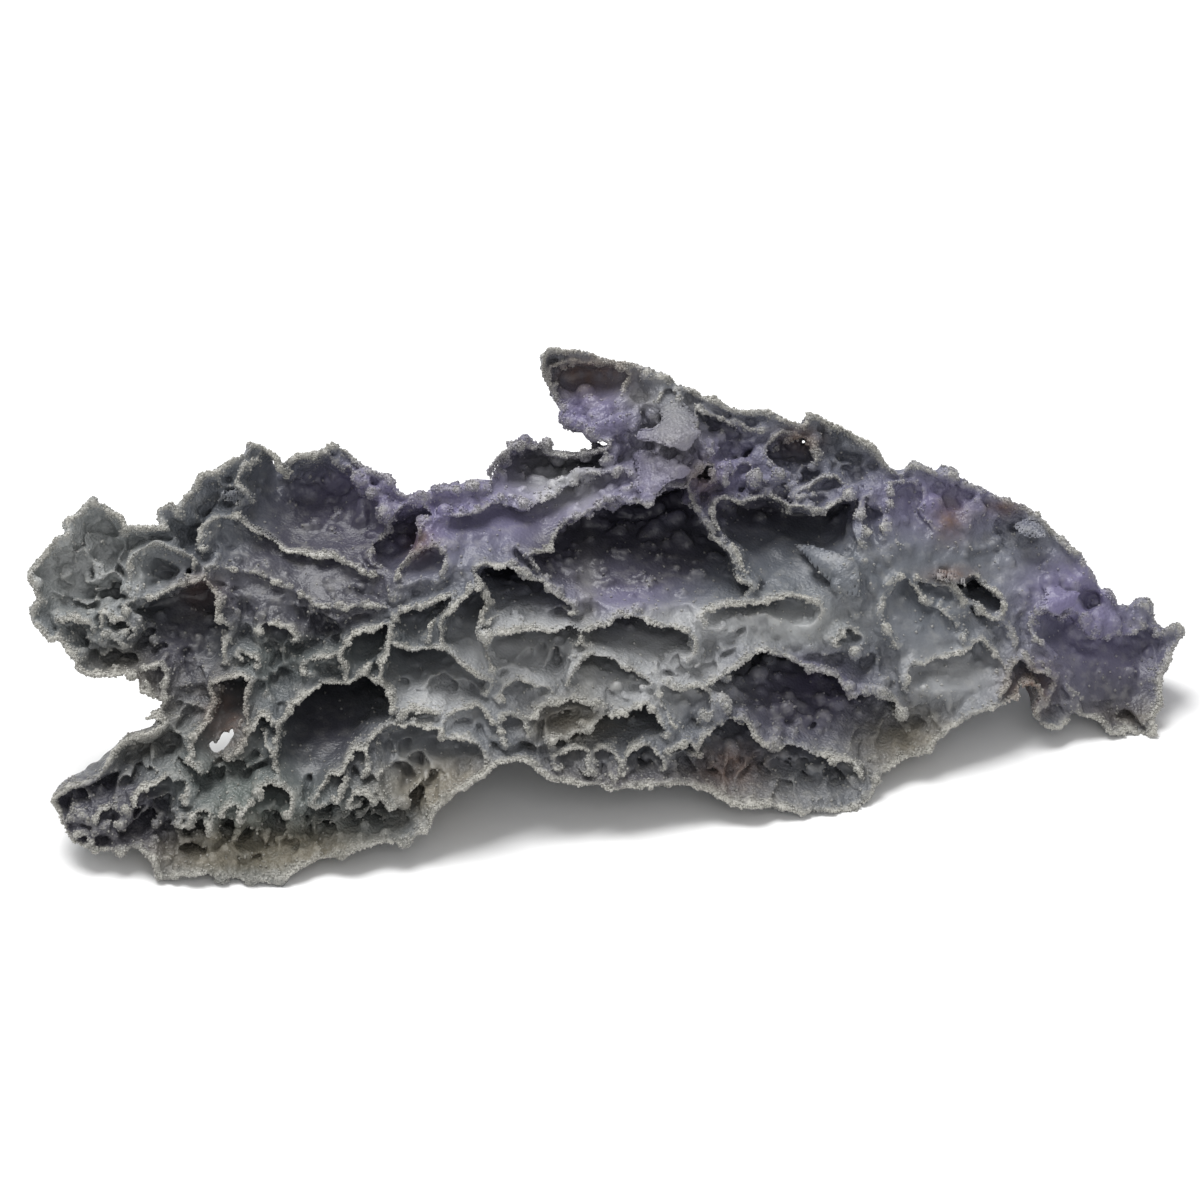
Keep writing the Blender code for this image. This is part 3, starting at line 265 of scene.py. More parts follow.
CELLS = {
    "pink_window": (4, 0.5, [(136, 561), (153, 550), (168, 553), (190, 564), (190, 571), (183, 584),
                             (162, 595), (139, 598), (134, 588), (131, 570)]),
    "left_bowl": (16, 0.6, [(127, 609), (139, 601), (160, 598), (181, 588), (204, 583), (218, 603),
                            (218, 618), (224, 632), (221, 650), (224, 665), (212, 679), (201, 681),
                            (180, 665), (162, 657), (151, 640), (141, 622)]),
    "lobe_slot_low": (6, 0.7, [(61, 622), (76, 619), (87, 622), (98, 637), (83, 636), (68, 630)]),
    "lobe_slot_high": (6, 0.7, [(105, 613), (120, 618), (135, 630), (131, 635), (116, 630), (105, 624)]),
    "lobe_slot_small": (4, 0.5, [(105, 636), (116, 634), (127, 640), (116, 644)]),
    "edge_cavity": (5, 0.5, [(145, 668), (158, 667), (163, 680), (164, 695), (158, 698), (151, 686)]),
    "tall_window": (13, 0.5, [(214, 686), (241, 680), (246, 684), (239, 704), (243, 727), (233, 731),
                              (220, 750), (208, 762), (194, 776), (189, 766), (191, 740), (205, 725),
                              (213, 708)]),
    "slanting_slot": (10, 0.6, [(224, 766), (235, 758), (251, 733), (262, 717), (269, 721), (260, 737),
                                (262, 752), (270, 759), (255, 770), (237, 775)]),
    "foot_hall": (9, 0.8, [(127, 808), (135, 802), (143, 789), (162, 783), (168, 789), (181, 793),
                           (181, 808), (162, 808), (145, 815)]),
    "foot_pit_round": (6, 0.5, [(97, 816), (101, 808), (109, 805), (117, 809), (119, 817), (114, 825),
                                (106, 827), (99, 823)]),
    "foot_pit_left": (5, 0.5, [(71, 816), (75, 810), (82, 810), (86, 816), (82, 822), (75, 822)]),
    "foot_pit_low": (5, 0.5, [(75, 841), (79, 834), (87, 833), (92, 840), (88, 848), (79, 848)]),
    "foot_pit_mid": (6, 0.5, [(180, 829), (193, 818), (205, 818), (206, 831), (189, 832)]),
    "foot_pit_flat": (3, 0.5, [(220, 816), (228, 810), (237, 812), (224, 820)]),
    "foot_bowl": (12, 0.6, [(240, 822), (252, 806), (257, 797), (268, 790), (279, 793), (288, 801),
                            (287, 815), (280, 826), (268, 831), (254, 831)]),
    "upper_bowl": (13, 0.45, [(236, 515), (248, 500), (240, 482), (247, 466), (262, 450), (274, 464),
                              (284, 480), (293, 466), (318, 460), (343, 468), (360, 480), (378, 505),
                              (388, 530), (383, 553), (368, 556), (348, 546), (331, 543), (302, 548),
                              (284, 550), (265, 537), (250, 525)]),
    "violet_ledge": (5, 0.9, [(203, 545), (203, 531), (215, 522), (236, 524), (262, 542), (285, 556),
                              (330, 554), (352, 563), (372, 576), (388, 590), (395, 598), (390, 604),
                              (350, 602), (318, 599), (292, 578), (270, 566), (245, 572), (222, 562)]),
    "blue_face": (4, 0.3, [(210, 572), (226, 570), (250, 577), (288, 587), (316, 604), (350, 608),
                           (390, 610), (380, 620), (357, 628), (335, 614), (322, 612), (300, 636),
                           (292, 622), (270, 616), (248, 612), (240, 602), (218, 586)]),
    "lace_window": (8, 0.6, [(257, 632), (267, 624), (277, 625), (286, 630), (292, 638), (286, 648),
                             (273, 649), (265, 641)]),
    "lace_pit": (5, 0.5, [(240, 659), (252, 661), (256, 666), (250, 671)]),
    "valley": (16, 0.4, [(372, 545), (379, 563), (390, 580), (398, 566), (410, 552), (417, 540),
                         (420, 525), (430, 516), (425, 507), (405, 510), (392, 520), (385, 535)]),
    "violet_shell": (8, 0.6, [(396, 583), (400, 570), (412, 557), (425, 550), (436, 548), (444, 557),
                              (441, 567), (433, 577), (424, 584), (410, 586)]),
    "violet_bench": (6, 0.9, [(442, 524), (450, 516), (470, 511), (488, 504), (500, 501), (540, 503),
                              (560, 493), (580, 481), (600, 477), (620, 471), (630, 472), (631, 488),
                              (622, 496), (603, 499), (592, 508), (577, 515), (563, 524), (551, 534),
                              (547, 543), (533, 546), (524, 552), (517, 558), (505, 557), (490, 560),
                              (477, 564), (466, 552), (455, 541), (445, 535), (438, 531)]),
    "rear_trough": (15, 0.15, [(494, 492), (497, 470), (503, 458), (513, 452), (540, 452), (553, 462),
                               (575, 458), (600, 450), (606, 455), (599, 464), (585, 469), (567, 475),
                               (559, 484), (547, 490), (540, 495), (515, 493), (507, 491)]),
    "shell_pocket": (12, 0.7, [(399, 610), (420, 608), (437, 603), (449, 598), (441, 611), (429, 622),
                               (426, 635), (421, 640), (405, 640), (396, 632), (396, 620)]),
    "fan_cell": (13, 0.6, [(446, 620), (455, 608), (463, 599), (472, 589), (481, 591), (486, 605),
                           (483, 618), (480, 628), (483, 647), (491, 670), (486, 674), (472, 664),
                           (454, 654), (445, 647), (441, 636)]),
    "corner_cell": (12, 0.7, [(355, 636), (372, 629), (390, 624), (389, 637), (381, 650), (371, 659),
                              (364, 664), (359, 676), (344, 678), (342, 660), (348, 645)]),
    "corner_shelf": (5, 0.7, [(303, 671), (320, 662), (336, 660), (337, 668), (323, 677), (307, 683)]),
    "wing_cell": (16, 0.7, [(383, 662), (393, 643), (403, 646), (430, 647), (443, 657), (461, 668),
                            (480, 679), (490, 685), (488, 693), (472, 696), (447, 692), (422, 693),
                            (405, 695), (395, 694), (387, 685)]),
    "dark_hall": (24, 0.6, [(291, 708), (303, 699), (320, 692), (336, 691), (357, 682), (366, 676),
                            (380, 681), (388, 695), (393, 712), (395, 720), (383, 731), (367, 737),
                            (355, 748), (340, 766), (328, 776), (318, 790), (306, 798), (293, 795),
                            (281, 786), (274, 774), (276, 745), (281, 722)]),
    "beige_shell": (10, 0.75, [(376, 742), (388, 735), (399, 730), (418, 729), (438, 732), (443, 739),
                               (464, 743), (473, 749), (479, 756), (470, 766), (457, 781), (441, 793),
                               (418, 802), (400, 804), (391, 806), (388, 787), (381, 772), (373, 758)]),
    "pillow_cell": (14, 0.8, [(485, 644), (492, 633), (511, 633), (520, 629), (540, 634), (552, 637),
                              (568, 636), (577, 641), (577, 652), (570, 662), (560, 672), (545, 675),
                              (520, 676), (497, 673), (489, 660)]),
    "black_vault": (22, 0.65, [(476, 573), (486, 567), (508, 564), (518, 570), (530, 577), (540, 581),
                               (548, 592), (560, 602), (570, 609), (571, 616), (555, 617), (540, 615),
                               (520, 613), (500, 613), (490, 616), (490, 603), (486, 592), (480, 582)]),
    "bead_slot_left": (6, 0.6, [(400, 718), (410, 709), (430, 711), (439, 716), (432, 723), (415, 723)]),
    "bead_slot_mid": (6, 0.6, [(445, 724), (457, 715), (480, 709), (490, 720), (494, 730), (489, 738),
                               (443, 732)]),
    "bead_slot_right": (6, 0.6, [(502, 718), (511, 713), (520, 717), (525, 731), (513, 737), (502, 737)]),
    "narrow_slot": (8, 0.7, [(502, 699), (508, 690), (520, 685), (536, 692), (547, 696), (545, 701),
                             (530, 705), (511, 705)]),
    "hem_pit_left": (6, 0.5, [(322, 791), (332, 779), (343, 775), (345, 781), (338, 796), (324, 805),
                              (317, 803)]),
    "hem_pit_high": (6, 0.5, [(357, 753), (366, 750), (370, 756), (365, 771), (352, 782), (346, 773)]),
    "hem_pit_low": (6, 0.5, [(354, 804), (358, 792), (369, 790), (375, 797), (369, 806)]),
    "great_vault": (26, 0.7, [(536, 553), (552, 548), (562, 529), (578, 520), (594, 513), (604, 504),
                              (640, 502), (660, 497), (668, 488), (687, 488), (689, 500), (697, 514),
                              (704, 528), (710, 541), (724, 551), (730, 563), (731, 578), (745, 588),
                              (740, 594), (715, 597), (700, 601), (680, 602), (655, 600), (640, 598),
                              (622, 599), (608, 602), (588, 599), (574, 592), (558, 584), (547, 574),
                              (540, 564)]),
    "eye_cell": (17, 0.8, [(581, 641), (592, 633), (602, 627), (616, 621), (620, 614), (632, 614),
                           (647, 619), (661, 624), (680, 629), (690, 639), (692, 650), (682, 656),
                           (668, 660), (654, 667), (642, 668), (625, 661), (600, 656), (587, 653)]),
    "low_arch": (13, 0.8, [(571, 689), (575, 680), (583, 669), (595, 666), (612, 668), (625, 674),
                           (640, 680), (646, 684), (640, 690), (630, 694), (615, 697), (600, 697),
                           (582, 696), (573, 694)]),
    "beige_fan": (8, 0.9, [(527, 717), (541, 712), (562, 704), (580, 704), (596, 707), (602, 712),
                           (592, 716), (580, 724), (567, 728), (556, 733), (547, 727), (532, 725)]),
    "dark_gallery": (22, 0.6, [(553, 741), (572, 738), (586, 733), (598, 725), (606, 719), (628, 716),
                               (640, 710), (648, 708), (654, 714), (657, 723), (663, 733), (657, 739),
                               (645, 741), (633, 745), (620, 750), (605, 748), (585, 747), (570, 744),
                               (560, 747)]),
    "rib_cell_left": (7, 0.8, [(557, 755), (570, 751), (581, 755), (584, 772), (577, 778), (565, 776),
                               (557, 766)]),
    "rib_cell_right": (7, 0.8, [(592, 757), (601, 753), (612, 758), (616, 766), (613, 775), (600, 777),
                                (592, 775)]),
    "round_cell": (9, 0.7, [(624, 763), (628, 755), (637, 751), (650, 752), (657, 759), (660, 768),
                            (655, 777), (645, 781), (632, 780), (625, 774)]),
    "grey_dish": (9, 0.7, [(660, 693), (663, 686), (680, 692), (690, 691), (697, 690), (702, 695),
                           (706, 704), (709, 713), (705, 721), (694, 727), (681, 730), (674, 723),
                           (670, 712), (663, 702)]),
    "under_dish": (10, 0.6, [(667, 752), (676, 747), (687, 742), (691, 750), (684, 759), (673, 761)]),
    "grape_cavern": (24, 0.65, [(708, 687), (722, 680), (736, 670), (745, 658), (757, 653), (770, 657),
                                (787, 662), (801, 668), (814, 675), (826, 677), (845, 687), (858, 695),
                                (880, 692), (894, 702), (900, 713), (888, 719), (868, 725), (850, 732),
                                (836, 746), (815, 749), (795, 742), (772, 735), (757, 727), (747, 717),
                                (735, 713), (728, 708), (724, 699), (714, 695)]),
    "lower_cavern": (14, 0.7, [(716, 735), (727, 725), (738, 721), (748, 731), (757, 742), (775, 749),
                               (797, 756), (815, 763), (838, 763), (850, 765), (860, 777), (862, 786),
                               (852, 793), (830, 796), (812, 792), (795, 786), (778, 788), (765, 783),
                               (752, 772), (735, 765), (718, 768), (706, 761), (697, 753), (704, 741)]),
    "long_slot": (8, 0.85, [(705, 613), (716, 608), (740, 605), (760, 602), (800, 600), (816, 602),
                            (819, 611), (810, 620), (798, 624), (780, 621), (765, 615), (750, 613),
                            (738, 617), (722, 623), (711, 628), (705, 622)]),
    "keyhole": (7, 0.5, [(837, 641), (845, 633), (855, 638), (853, 648), (843, 651)]),
    "blue_cell": (18, 0.7, [(712, 512), (718, 505), (727, 501), (742, 506), (757, 502), (770, 500),
                            (780, 506), (790, 511), (800, 509), (814, 514), (826, 512), (845, 505),
                            (857, 505), (856, 532), (857, 546), (848, 559), (852, 572), (845, 588),
                            (815, 591), (790, 591), (765, 592), (757, 580), (744, 570), (742, 559),
                            (736, 546), (725, 537), (717, 526)]),
    "violet_funnel": (13, 0.5, [(700, 408), (715, 416), (728, 423), (745, 430), (762, 434), (757, 440),
                                (735, 443), (718, 449), (708, 449), (704, 438), (698, 428), (703, 420)]),
    "brown_funnel": (13, 0.5, [(770, 449), (776, 442), (784, 436), (796, 436), (807, 440), (813, 446),
                               (817, 456), (813, 462), (798, 467), (788, 467), (775, 462), (768, 460)]),
    "brow_slot": (8, 0.6, [(798, 494), (813, 490), (825, 482), (834, 481), (841, 489), (845, 495),
                           (832, 496), (815, 495)]),
    "bead_hollow": (5, 0.5, [(728, 473), (736, 477), (743, 471), (751, 469), (756, 473), (754, 480),
                             (748, 486), (741, 491), (733, 487), (728, 481)]),
    "bead_groove": (5, 0.5, [(765, 481), (778, 479), (789, 484), (786, 489), (772, 487), (764, 487)]),
    "brown_nook": (12, 0.5, [(697, 469), (706, 465), (714, 468), (714, 478), (706, 485), (701, 492),
                             (694, 498), (690, 494), (692, 485), (694, 476)]),
    "horn_hollow": (9, 0.8, [(556, 368), (577, 362), (600, 365), (615, 367), (625, 376), (621, 388),
                             (616, 397), (604, 402), (585, 402), (570, 397), (561, 389), (555, 379)]),
    "horn_pocket": (4, 0.6, [(662, 398), (664, 388), (672, 387), (678, 394), (676, 400)]),
    "side_channel": (7, 0.5, [(867, 502), (876, 508), (885, 517), (882, 530), (885, 545), (877, 555),
                              (870, 561), (866, 556), (866, 545), (870, 530), (868, 515)]),
    "slope_dish": (4, 0.5, [(892, 484), (905, 480), (918, 483), (920, 495), (917, 510), (924, 520),
                            (933, 531), (924, 540), (900, 545), (893, 540), (896, 528), (893, 513),
                            (888, 500)]),
    "grey_shell": (6, 0.7, [(886, 594), (892, 583), (903, 577), (911, 586), (919, 596), (935, 605),
                            (948, 614), (958, 625), (965, 635), (957, 645), (945, 650), (925, 653),
                            (907, 653), (896, 647), (888, 630), (884, 610)]),
    "behind_lip": (6, 0.6, [(918, 576), (935, 581), (950, 584), (957, 592), (963, 603), (965, 616),
                            (955, 609), (942, 598), (927, 589)]),
    "black_slot": (18, 0.5, [(954, 580), (966, 584), (978, 578), (985, 585), (995, 594), (1004, 600),
                             (1002, 614), (997, 621), (989, 614), (975, 605), (968, 600), (963, 590)]),
    "side_shelf": (8, 0.6, [(971, 612), (979, 611), (992, 623), (1008, 631), (1016, 641), (1014, 651),
                            (1009, 655), (1001, 645), (993, 637), (984, 629), (976, 621)]),
    "lower_shell": (10, 0.6, [(912, 676), (918, 669), (930, 664), (947, 661), (962, 655), (976, 648),
                              (984, 644), (993, 649), (1000, 658), (1003, 668), (1000, 676), (992, 683),
                              (985, 692), (972, 695), (955, 694), (935, 691), (920, 689), (911, 684)]),
    "brown_arch": (10, 0.7, [(996, 702), (1000, 693), (1010, 685), (1013, 668), (1017, 659), (1022, 657),
                             (1031, 670), (1042, 668), (1048, 675), (1051, 685), (1047, 695), (1045, 705),
                             (1040, 690), (1036, 676), (1026, 677), (1018, 688), (1013, 700)]),
    "violet_end": (7, 0.8, [(1038, 612), (1047, 611), (1060, 617), (1076, 614), (1083, 622), (1090, 633),
                            (1098, 638), (1107, 635), (1120, 633), (1132, 634), (1142, 626), (1152, 629),
                            (1163, 636), (1166, 643), (1159, 660), (1154, 680), (1147, 700), (1144, 712),
                            (1133, 712), (1118, 709), (1105, 708), (1088, 710), (1081, 700), (1076, 688),
                            (1066, 674), (1058, 660), (1048, 648), (1038, 640), (1034, 627)]),
}

HOLES = {
    "see_through": [(208, 748), (220, 740), (231, 732), (234, 735), (222, 748), (212, 752)],
}
PINHOLES = {
    "left": [(187, 569), (193, 570), (194, 577), (188, 578)],
    "upper": [(800, 436), (806, 437), (806, 442), (801, 443)],
}

FLAPS = {
    "leaf_upper": ((665, 402, 2), (690, 460, -6), [
        (660, 406), (668, 403), (681, 401), (690, 404), (692, 412), (700, 418), (694, 426), (701, 433),
        (704, 441), (703, 447), (707, 453), (704, 461), (695, 463), (684, 459), (672, 453), (664, 447),
        (651, 441), (639, 440), (637, 435), (643, 424), (652, 424), (661, 418)]),
    "leaf_lower": ((640, 450, 3), (670, 495, -5), [
        (634, 455), (641, 446), (655, 447), (665, 455), (690, 467), (693, 471), (685, 479), (671, 481),
        (662, 489), (656, 498), (643, 498), (635, 490), (636, 470)]),
    "brow_flap": ((1040, 575, 2), (1065, 612, -5), [
        (1040, 575), (1047, 574), (1056, 579), (1064, 589), (1079, 591), (1086, 594), (1090, 603),
        (1080, 608), (1068, 609), (1060, 614), (1052, 609), (1040, 609), (1034, 606), (1040, 600),
        (1042, 590)]),
    "fibre_flap": ((925, 567, 2), (968, 583, -5), [
        (921, 568), (935, 565), (950, 569), (962, 573), (975, 582), (965, 584), (951, 580), (935, 577),
        (923, 573)]),
    "crest_plate": ((1020, 517, 1), (1035, 541, -3), [
        (1015, 520), (1024, 517), (1036, 520), (1043, 530), (1046, 540), (1035, 540), (1020, 535),
        (1012, 526)]),
    "bowl_tongue": ((246, 500, 2), (222, 494, -4), [
        (221, 501), (222, 491), (236, 489), (248, 497), (246, 505), (236, 507)]),
    "inner_shelf": ((854, 528, -1), (785, 530, 6), [
        (782, 533), (790, 525), (805, 519), (818, 521), (832, 526), (848, 521), (860, 522), (860, 536),
        (835, 539), (805, 540)]),
    "fallen_leaf": ((856, 580, 0), (795, 550, 7), [
        (793, 549), (815, 547), (838, 553), (858, 565), (860, 596), (848, 598), (830, 585)]),
}

GRAPES = [
    (315, 526, 9), (386, 513, 11), (363, 511, 9), (361, 523, 8), (384, 500, 6), (375, 536, 6),
    (390, 549, 9), (403, 541, 8), (360, 478, 9), (365, 488, 10), (348, 484, 5), (330, 500, 6),
    (595, 525, 9), (655, 512, 9), (637, 519, 6), (680, 540, 10), (672, 520, 8), (624, 555, 7),
    (571, 577, 8), (610, 584, 7), (650, 582, 5), (699, 577, 9), (625, 515, 12), (655, 530, 11),
    (755, 680, 10), (760, 692, 7), (741, 715, 8), (788, 695, 7), (780, 714, 9), (803, 723, 8),
    (776, 734, 9), (770, 660, 8), (718, 706, 9), (716, 716, 8), (862, 688, 6), (820, 700, 8),
    (558, 459, 8), (540, 484, 9), (504, 462, 7), (500, 477, 8), (572, 415, 10), (598, 418, 9),
    (606, 430, 9), (620, 424, 10), (582, 424, 8), (618, 448, 8), (610, 460, 8), (653, 415, 8),
    (573, 479, 6), (585, 476, 6), (500, 498, 6), (511, 498, 6), (455, 487, 6), (470, 487, 7),
    (760, 519, 8), (753, 482, 6), (748, 494, 6), (725, 453, 9), (740, 452, 8), (763, 470, 8),
    (885, 534, 7), (866, 573, 6), (886, 559, 7), (877, 570, 6), (874, 584, 8), (888, 505, 6),
    (902, 493, 6), (932, 505, 12), (915, 470, 9), (950, 476, 9), (1142, 609, 12), (1108, 621, 13),
    (1128, 624, 9), (1176, 631, 8), (1093, 632, 7), (1106, 586, 6), (1095, 603, 7), (630, 628, 5),
    (486, 636, 7), (590, 648, 6), (812, 770, 7), (735, 765, 7), (735, 750, 5),
]

# %% [markdown]
# ## A block of numbers in place of a mesh
# A froth of walls that meet, end and tear has no tidy grid of its own. So the stone is first a block
# of numbers: each holds how far its place is from the nearest surface, negative inside the stone.
# Cutting and fusing are then a larger or smaller of two numbers, and the surface is found afterwards.

# %% The block
STEP = 0.44    # millimetres between two numbers
RANGES = [(-110, 112), (-56, 50), (-4, 62)]   # of x, of y and of the depth behind the rims
xs, ys, ds = (np.arange(start, stop, STEP, dtype=np.float32) for start, stop in RANGES)
SHAPE = (len(xs), len(ys), len(ds))
flat_x, flat_y = np.meshgrid(xs, ys, indexing="ij")
flat_column, flat_row = in_pixels(flat_x, flat_y)
print("block:", SHAPE, "step", STEP)


# %% Rounded cuts and joins
def greater(a, b, blend):
    """The larger of two numbers, rounded where they are within blend of each other."""
    near = np.maximum(blend - np.abs(a - b), 0) / blend
    return np.maximum(a, b) + near * near * blend / 4


def lesser(a, b, blend):
    """The smaller of two numbers, rounded in the same way."""
    return -greater(-a, -b, blend)


# %% Smooth random blobs
FLAT_GAIN, DEEP_GAIN = 1.9, 2.4       # make up for what the spreading takes off a map and off a block


def spread_weights(count, spacing):
    """Weights that spread lattice values over count places: a cubic spline over four neighbours."""
    at = np.arange(count) * STEP / spacing
    base = np.floor(at).astype(int)
    t = at - base
    weights = np.zeros((count, base.max() + 4), np.float32)
    cubic = ((1 - t) ** 3, 3 * t ** 3 - 6 * t ** 2 + 4, 3 * (t + t ** 2 - t ** 3) + 1, t ** 3)
    for offset, weight in enumerate(cubic):
        weights[np.arange(count), base + offset] = weight / 6
    return weights


def blobs(spacing, seed, shape=SHAPE):
    """Smooth random numbers over the block, about -1 to 1, with lumps as wide as spacing millimetres."""
    spreads = [spread_weights(count, spacing) for count in shape]
    values = np.random.default_rng(seed).uniform(-1, 1, [w.shape[1] for w in spreads]).astype(np.float32)
    for axis, weights in enumerate(spreads):
        values = np.moveaxis(np.tensordot(weights, values, (1, axis)), 0, axis)
    return values * (FLAT_GAIN if len(shape) == 2 else DEEP_GAIN)


def soft_spots(column, row, places):
    """Sum of bells, at most 1: each place has its column, row and two reaches in pixels."""
    mask = np.zeros(np.broadcast(column, row).shape, np.float32)
    for cx, cy, rx, ry in places:
        mask += np.exp(-((column - cx) / rx) ** 2 - ((row - cy) / ry) ** 2)
    return np.clip(mask, 0, 1)


# %% Distance to an outline
def polygon_distance(px, py, loop):
    """Distance to the nearest edge of a closed outline, negative inside, by counting crossings."""
    square = np.full(px.shape, 1e9, np.float32)
    inside = np.zeros(px.shape, bool)
    for (ax, ay), (bx, by) in zip(loop, np.roll(loop, -1, axis=0)):
        ex, ey = bx - ax, by - ay
        wx, wy = px - ax, py - ay
        t = np.clip((wx * ex + wy * ey) / (ex * ex + ey * ey), 0, 1)
        square = np.minimum(square, (wx - ex * t) ** 2 + (wy - ey * t) ** 2)
        inside ^= ((ay > py) != (by > py)) & ((wx * ey < wy * ex) == (ey > 0))
    return np.where(inside, -1, 1) * np.sqrt(square)


def read_map(values, px, py):
    """A flat map read between its points: straight lines along x and y."""
    i = np.clip((px - xs[0]) / STEP, 0, len(xs) - 1.001)
    j = np.clip((py - ys[0]) / STEP, 0, len(ys) - 1.001)
    i0, j0 = i.astype(np.int32), j.astype(np.int32)
    i, j = i - i0, j - j0
    low = values[i0, j0] * (1 - j) + values[i0, j0 + 1] * j
    return low * (1 - i) + (values[i0 + 1, j0] * (1 - j) + values[i0 + 1, j0 + 1] * j) * i


# %% [markdown]
# ## The body
# The body fills the traced outline from the rims back to a lumpy rear. It is thick low down in the
# middle, and thin at the crest and at both ends. Its coordinates are pushed about by smooth random
# blobs first, which makes every edge and wall a little wavy, as grown stone is.

# %% Waviness
WOBBLE = [(6.5, 0.8), (2.3, 0.6), (1.25, 0.3)]   # spacing and height, millimetres
FRONT_RAGGED = [(7.0, 0.9), (2.6, 0.7), (1.3, 0.45)]   # the same, for the front edge of the walls
RAGGED_SEED = 90
wobble = [sum(height * blobs(spacing, seed + 10 * axis) for seed, (spacing, height) in enumerate(WOBBLE))
          for axis in range(3)]
X = xs[:, None, None] + wobble[0]
Y = ys[None, :, None] + wobble[1]
D = ds[None, None, :] + wobble[2]
ragged = sum(height * blobs(spacing, RAGGED_SEED + number, SHAPE[:2])
             for number, (spacing, height) in enumerate(FRONT_RAGGED))
print("waviness, mm, up to:", [round(float(np.abs(push).max()), 1) for push in wobble])

# %% Thickness
LOW_THICKNESS = 56.0                  # from the rims back to the rear, low down in the middle
HIGH_THICKNESS = 22.0                 # the same at the crest
THICKNESS_FALL = 1.5                  # power by which it falls from low down to the crest
END_THICKNESS = 14.0                  # the same at the two thin ends
RIM_THICKNESS = 2.2                   # of the walls where they end at the outline
REAR_ROUNDING = 11.0                  # how far in from the outline the rear is full
REAR_LUMP, LUMP_SPACING = 4.0, 11.0   # height and spacing of the lumps on the rear
UNDERSIDE_REACH = 0.8                 # share of the thickness that the level underside runs back
UNDERSIDE_GIRTH = 0.35                # girth below which it runs back less, towards the thin ends
UNDERSIDE_TOP = 16.0                  # height above the lower edge where the outline is thin again
WINDOW_REAR = [(225, 765, 42, 50)]    # behind the tall window, which light comes through,
WINDOW_HOLLOW = 0.55                  # the rear is hollow by this share
outline = outline_mm(OUTLINE)
outline_map = polygon_distance(flat_x, flat_y, outline)


def lump_noise(u, v):
    """Smooth lumps shared with the solids, read on every fourth point and filled in between."""
    stride = 4
    coarse = np.array([[noise.noise((float(a), float(b), 0)) for a, b in zip(row_u, row_v)]
                       for row_u, row_v in zip(u[::stride, ::stride], v[::stride, ::stride])])
    for axis in (0, 1):
        at = np.minimum(np.arange(u.shape[axis]) / stride, coarse.shape[axis] - 1.001)
        base = at.astype(int)
        t = np.expand_dims(at - base, 1 - axis)
        coarse = np.take(coarse, base, axis) * (1 - t) + np.take(coarse, base + 1, axis) * t
    return coarse


def lower_edge():
    """Height of the outline's lowest crossing at each x of the block."""
    after = np.roll(outline, -1, axis=0)
    along = (xs[:, None] - outline[:, 0]) / (after[:, 0] - outline[:, 0] + 1e-6)
    height = outline[:, 1] + along * (after[:, 1] - outline[:, 1])
    return np.where((along >= 0) & (along <= 1), height, 50).min(axis=1)[:, None]


under = np.clip(1 - (flat_y - np.minimum(lower_edge(), flat_y)) / UNDERSIDE_TOP, 0, 1)
girth = along_length(xs, GIRTH)[:, None]
lowness = (1 - height_share(flat_x, flat_y)) ** THICKNESS_FALL
full = HIGH_THICKNESS + (LOW_THICKNESS - HIGH_THICKNESS) * lowness
full = END_THICKNESS + (full - END_THICKNESS) * girth
inset = np.clip(-outline_map / REAR_ROUNDING, 0, 1)
level_share = UNDERSIDE_REACH * np.clip(girth / UNDERSIDE_GIRTH, 0, 1) * under
rounding = 1 - (1 - level_share) * (1 - np.sqrt(1 - (1 - inset) ** 2))
lumps = lump_noise(flat_x / LUMP_SPACING, flat_y / LUMP_SPACING)
full = full * (1 - WINDOW_HOLLOW * soft_spots(flat_column, flat_row, WINDOW_REAR))
rear = (RIM_THICKNESS + (full + REAR_LUMP * lumps - RIM_THICKNESS) * rounding).astype(np.float32)
print("thickness, mm, up to:", round(float(rear[outline_map < 0].max()), 1))

# %% [markdown]
# The piece stands on a few lumps of its underside. They are bells that push the underside down, among
# smaller lumps, and they begin a little way behind the front edge, which the photo shows.

# %% Feet
UNDERSIDE_LUMP = 2.0                  # height of the lumps on the underside
UNDERSIDE_RAMP = 10.0                 # how far back from the front edge they reach their full height
UNDERSIDE_SEED = 51
REAR_FEET = [(350, 42, 11, 2), (490, 38, 14, 11), (815, 46, 12, 3.5)]   # column, depth, reach, drop


def feet_ruffle():
    """How far the underside is pushed up or down: small lumps, and the rear feet as bells."""
    push = UNDERSIDE_LUMP / 2 * blobs(LUMP_SPACING, UNDERSIDE_SEED, (len(xs), len(ds)))
    for column, back, reach, drop in REAR_FEET:
        distance = np.hypot(xs[:, None] - picture_point(column, 0)[0], ds - back) / reach
        push = push - drop * np.exp(-distance ** 2 / 2)
    ramp = np.clip(ds / UNDERSIDE_RAMP, 0, 1)
    return (push * ramp)[:, None, :] * under[:, :, None]


# %% [markdown]
# Between two pouches the stone isn't flat. The lips round the pouches stand out as thin edges, and the
# ground between them sinks away and is pitted like a sponge, except on a few smooth slopes. The foot
# of a pouch has no lip: its floor runs on as a shelf, down to the brow of the next pouch.

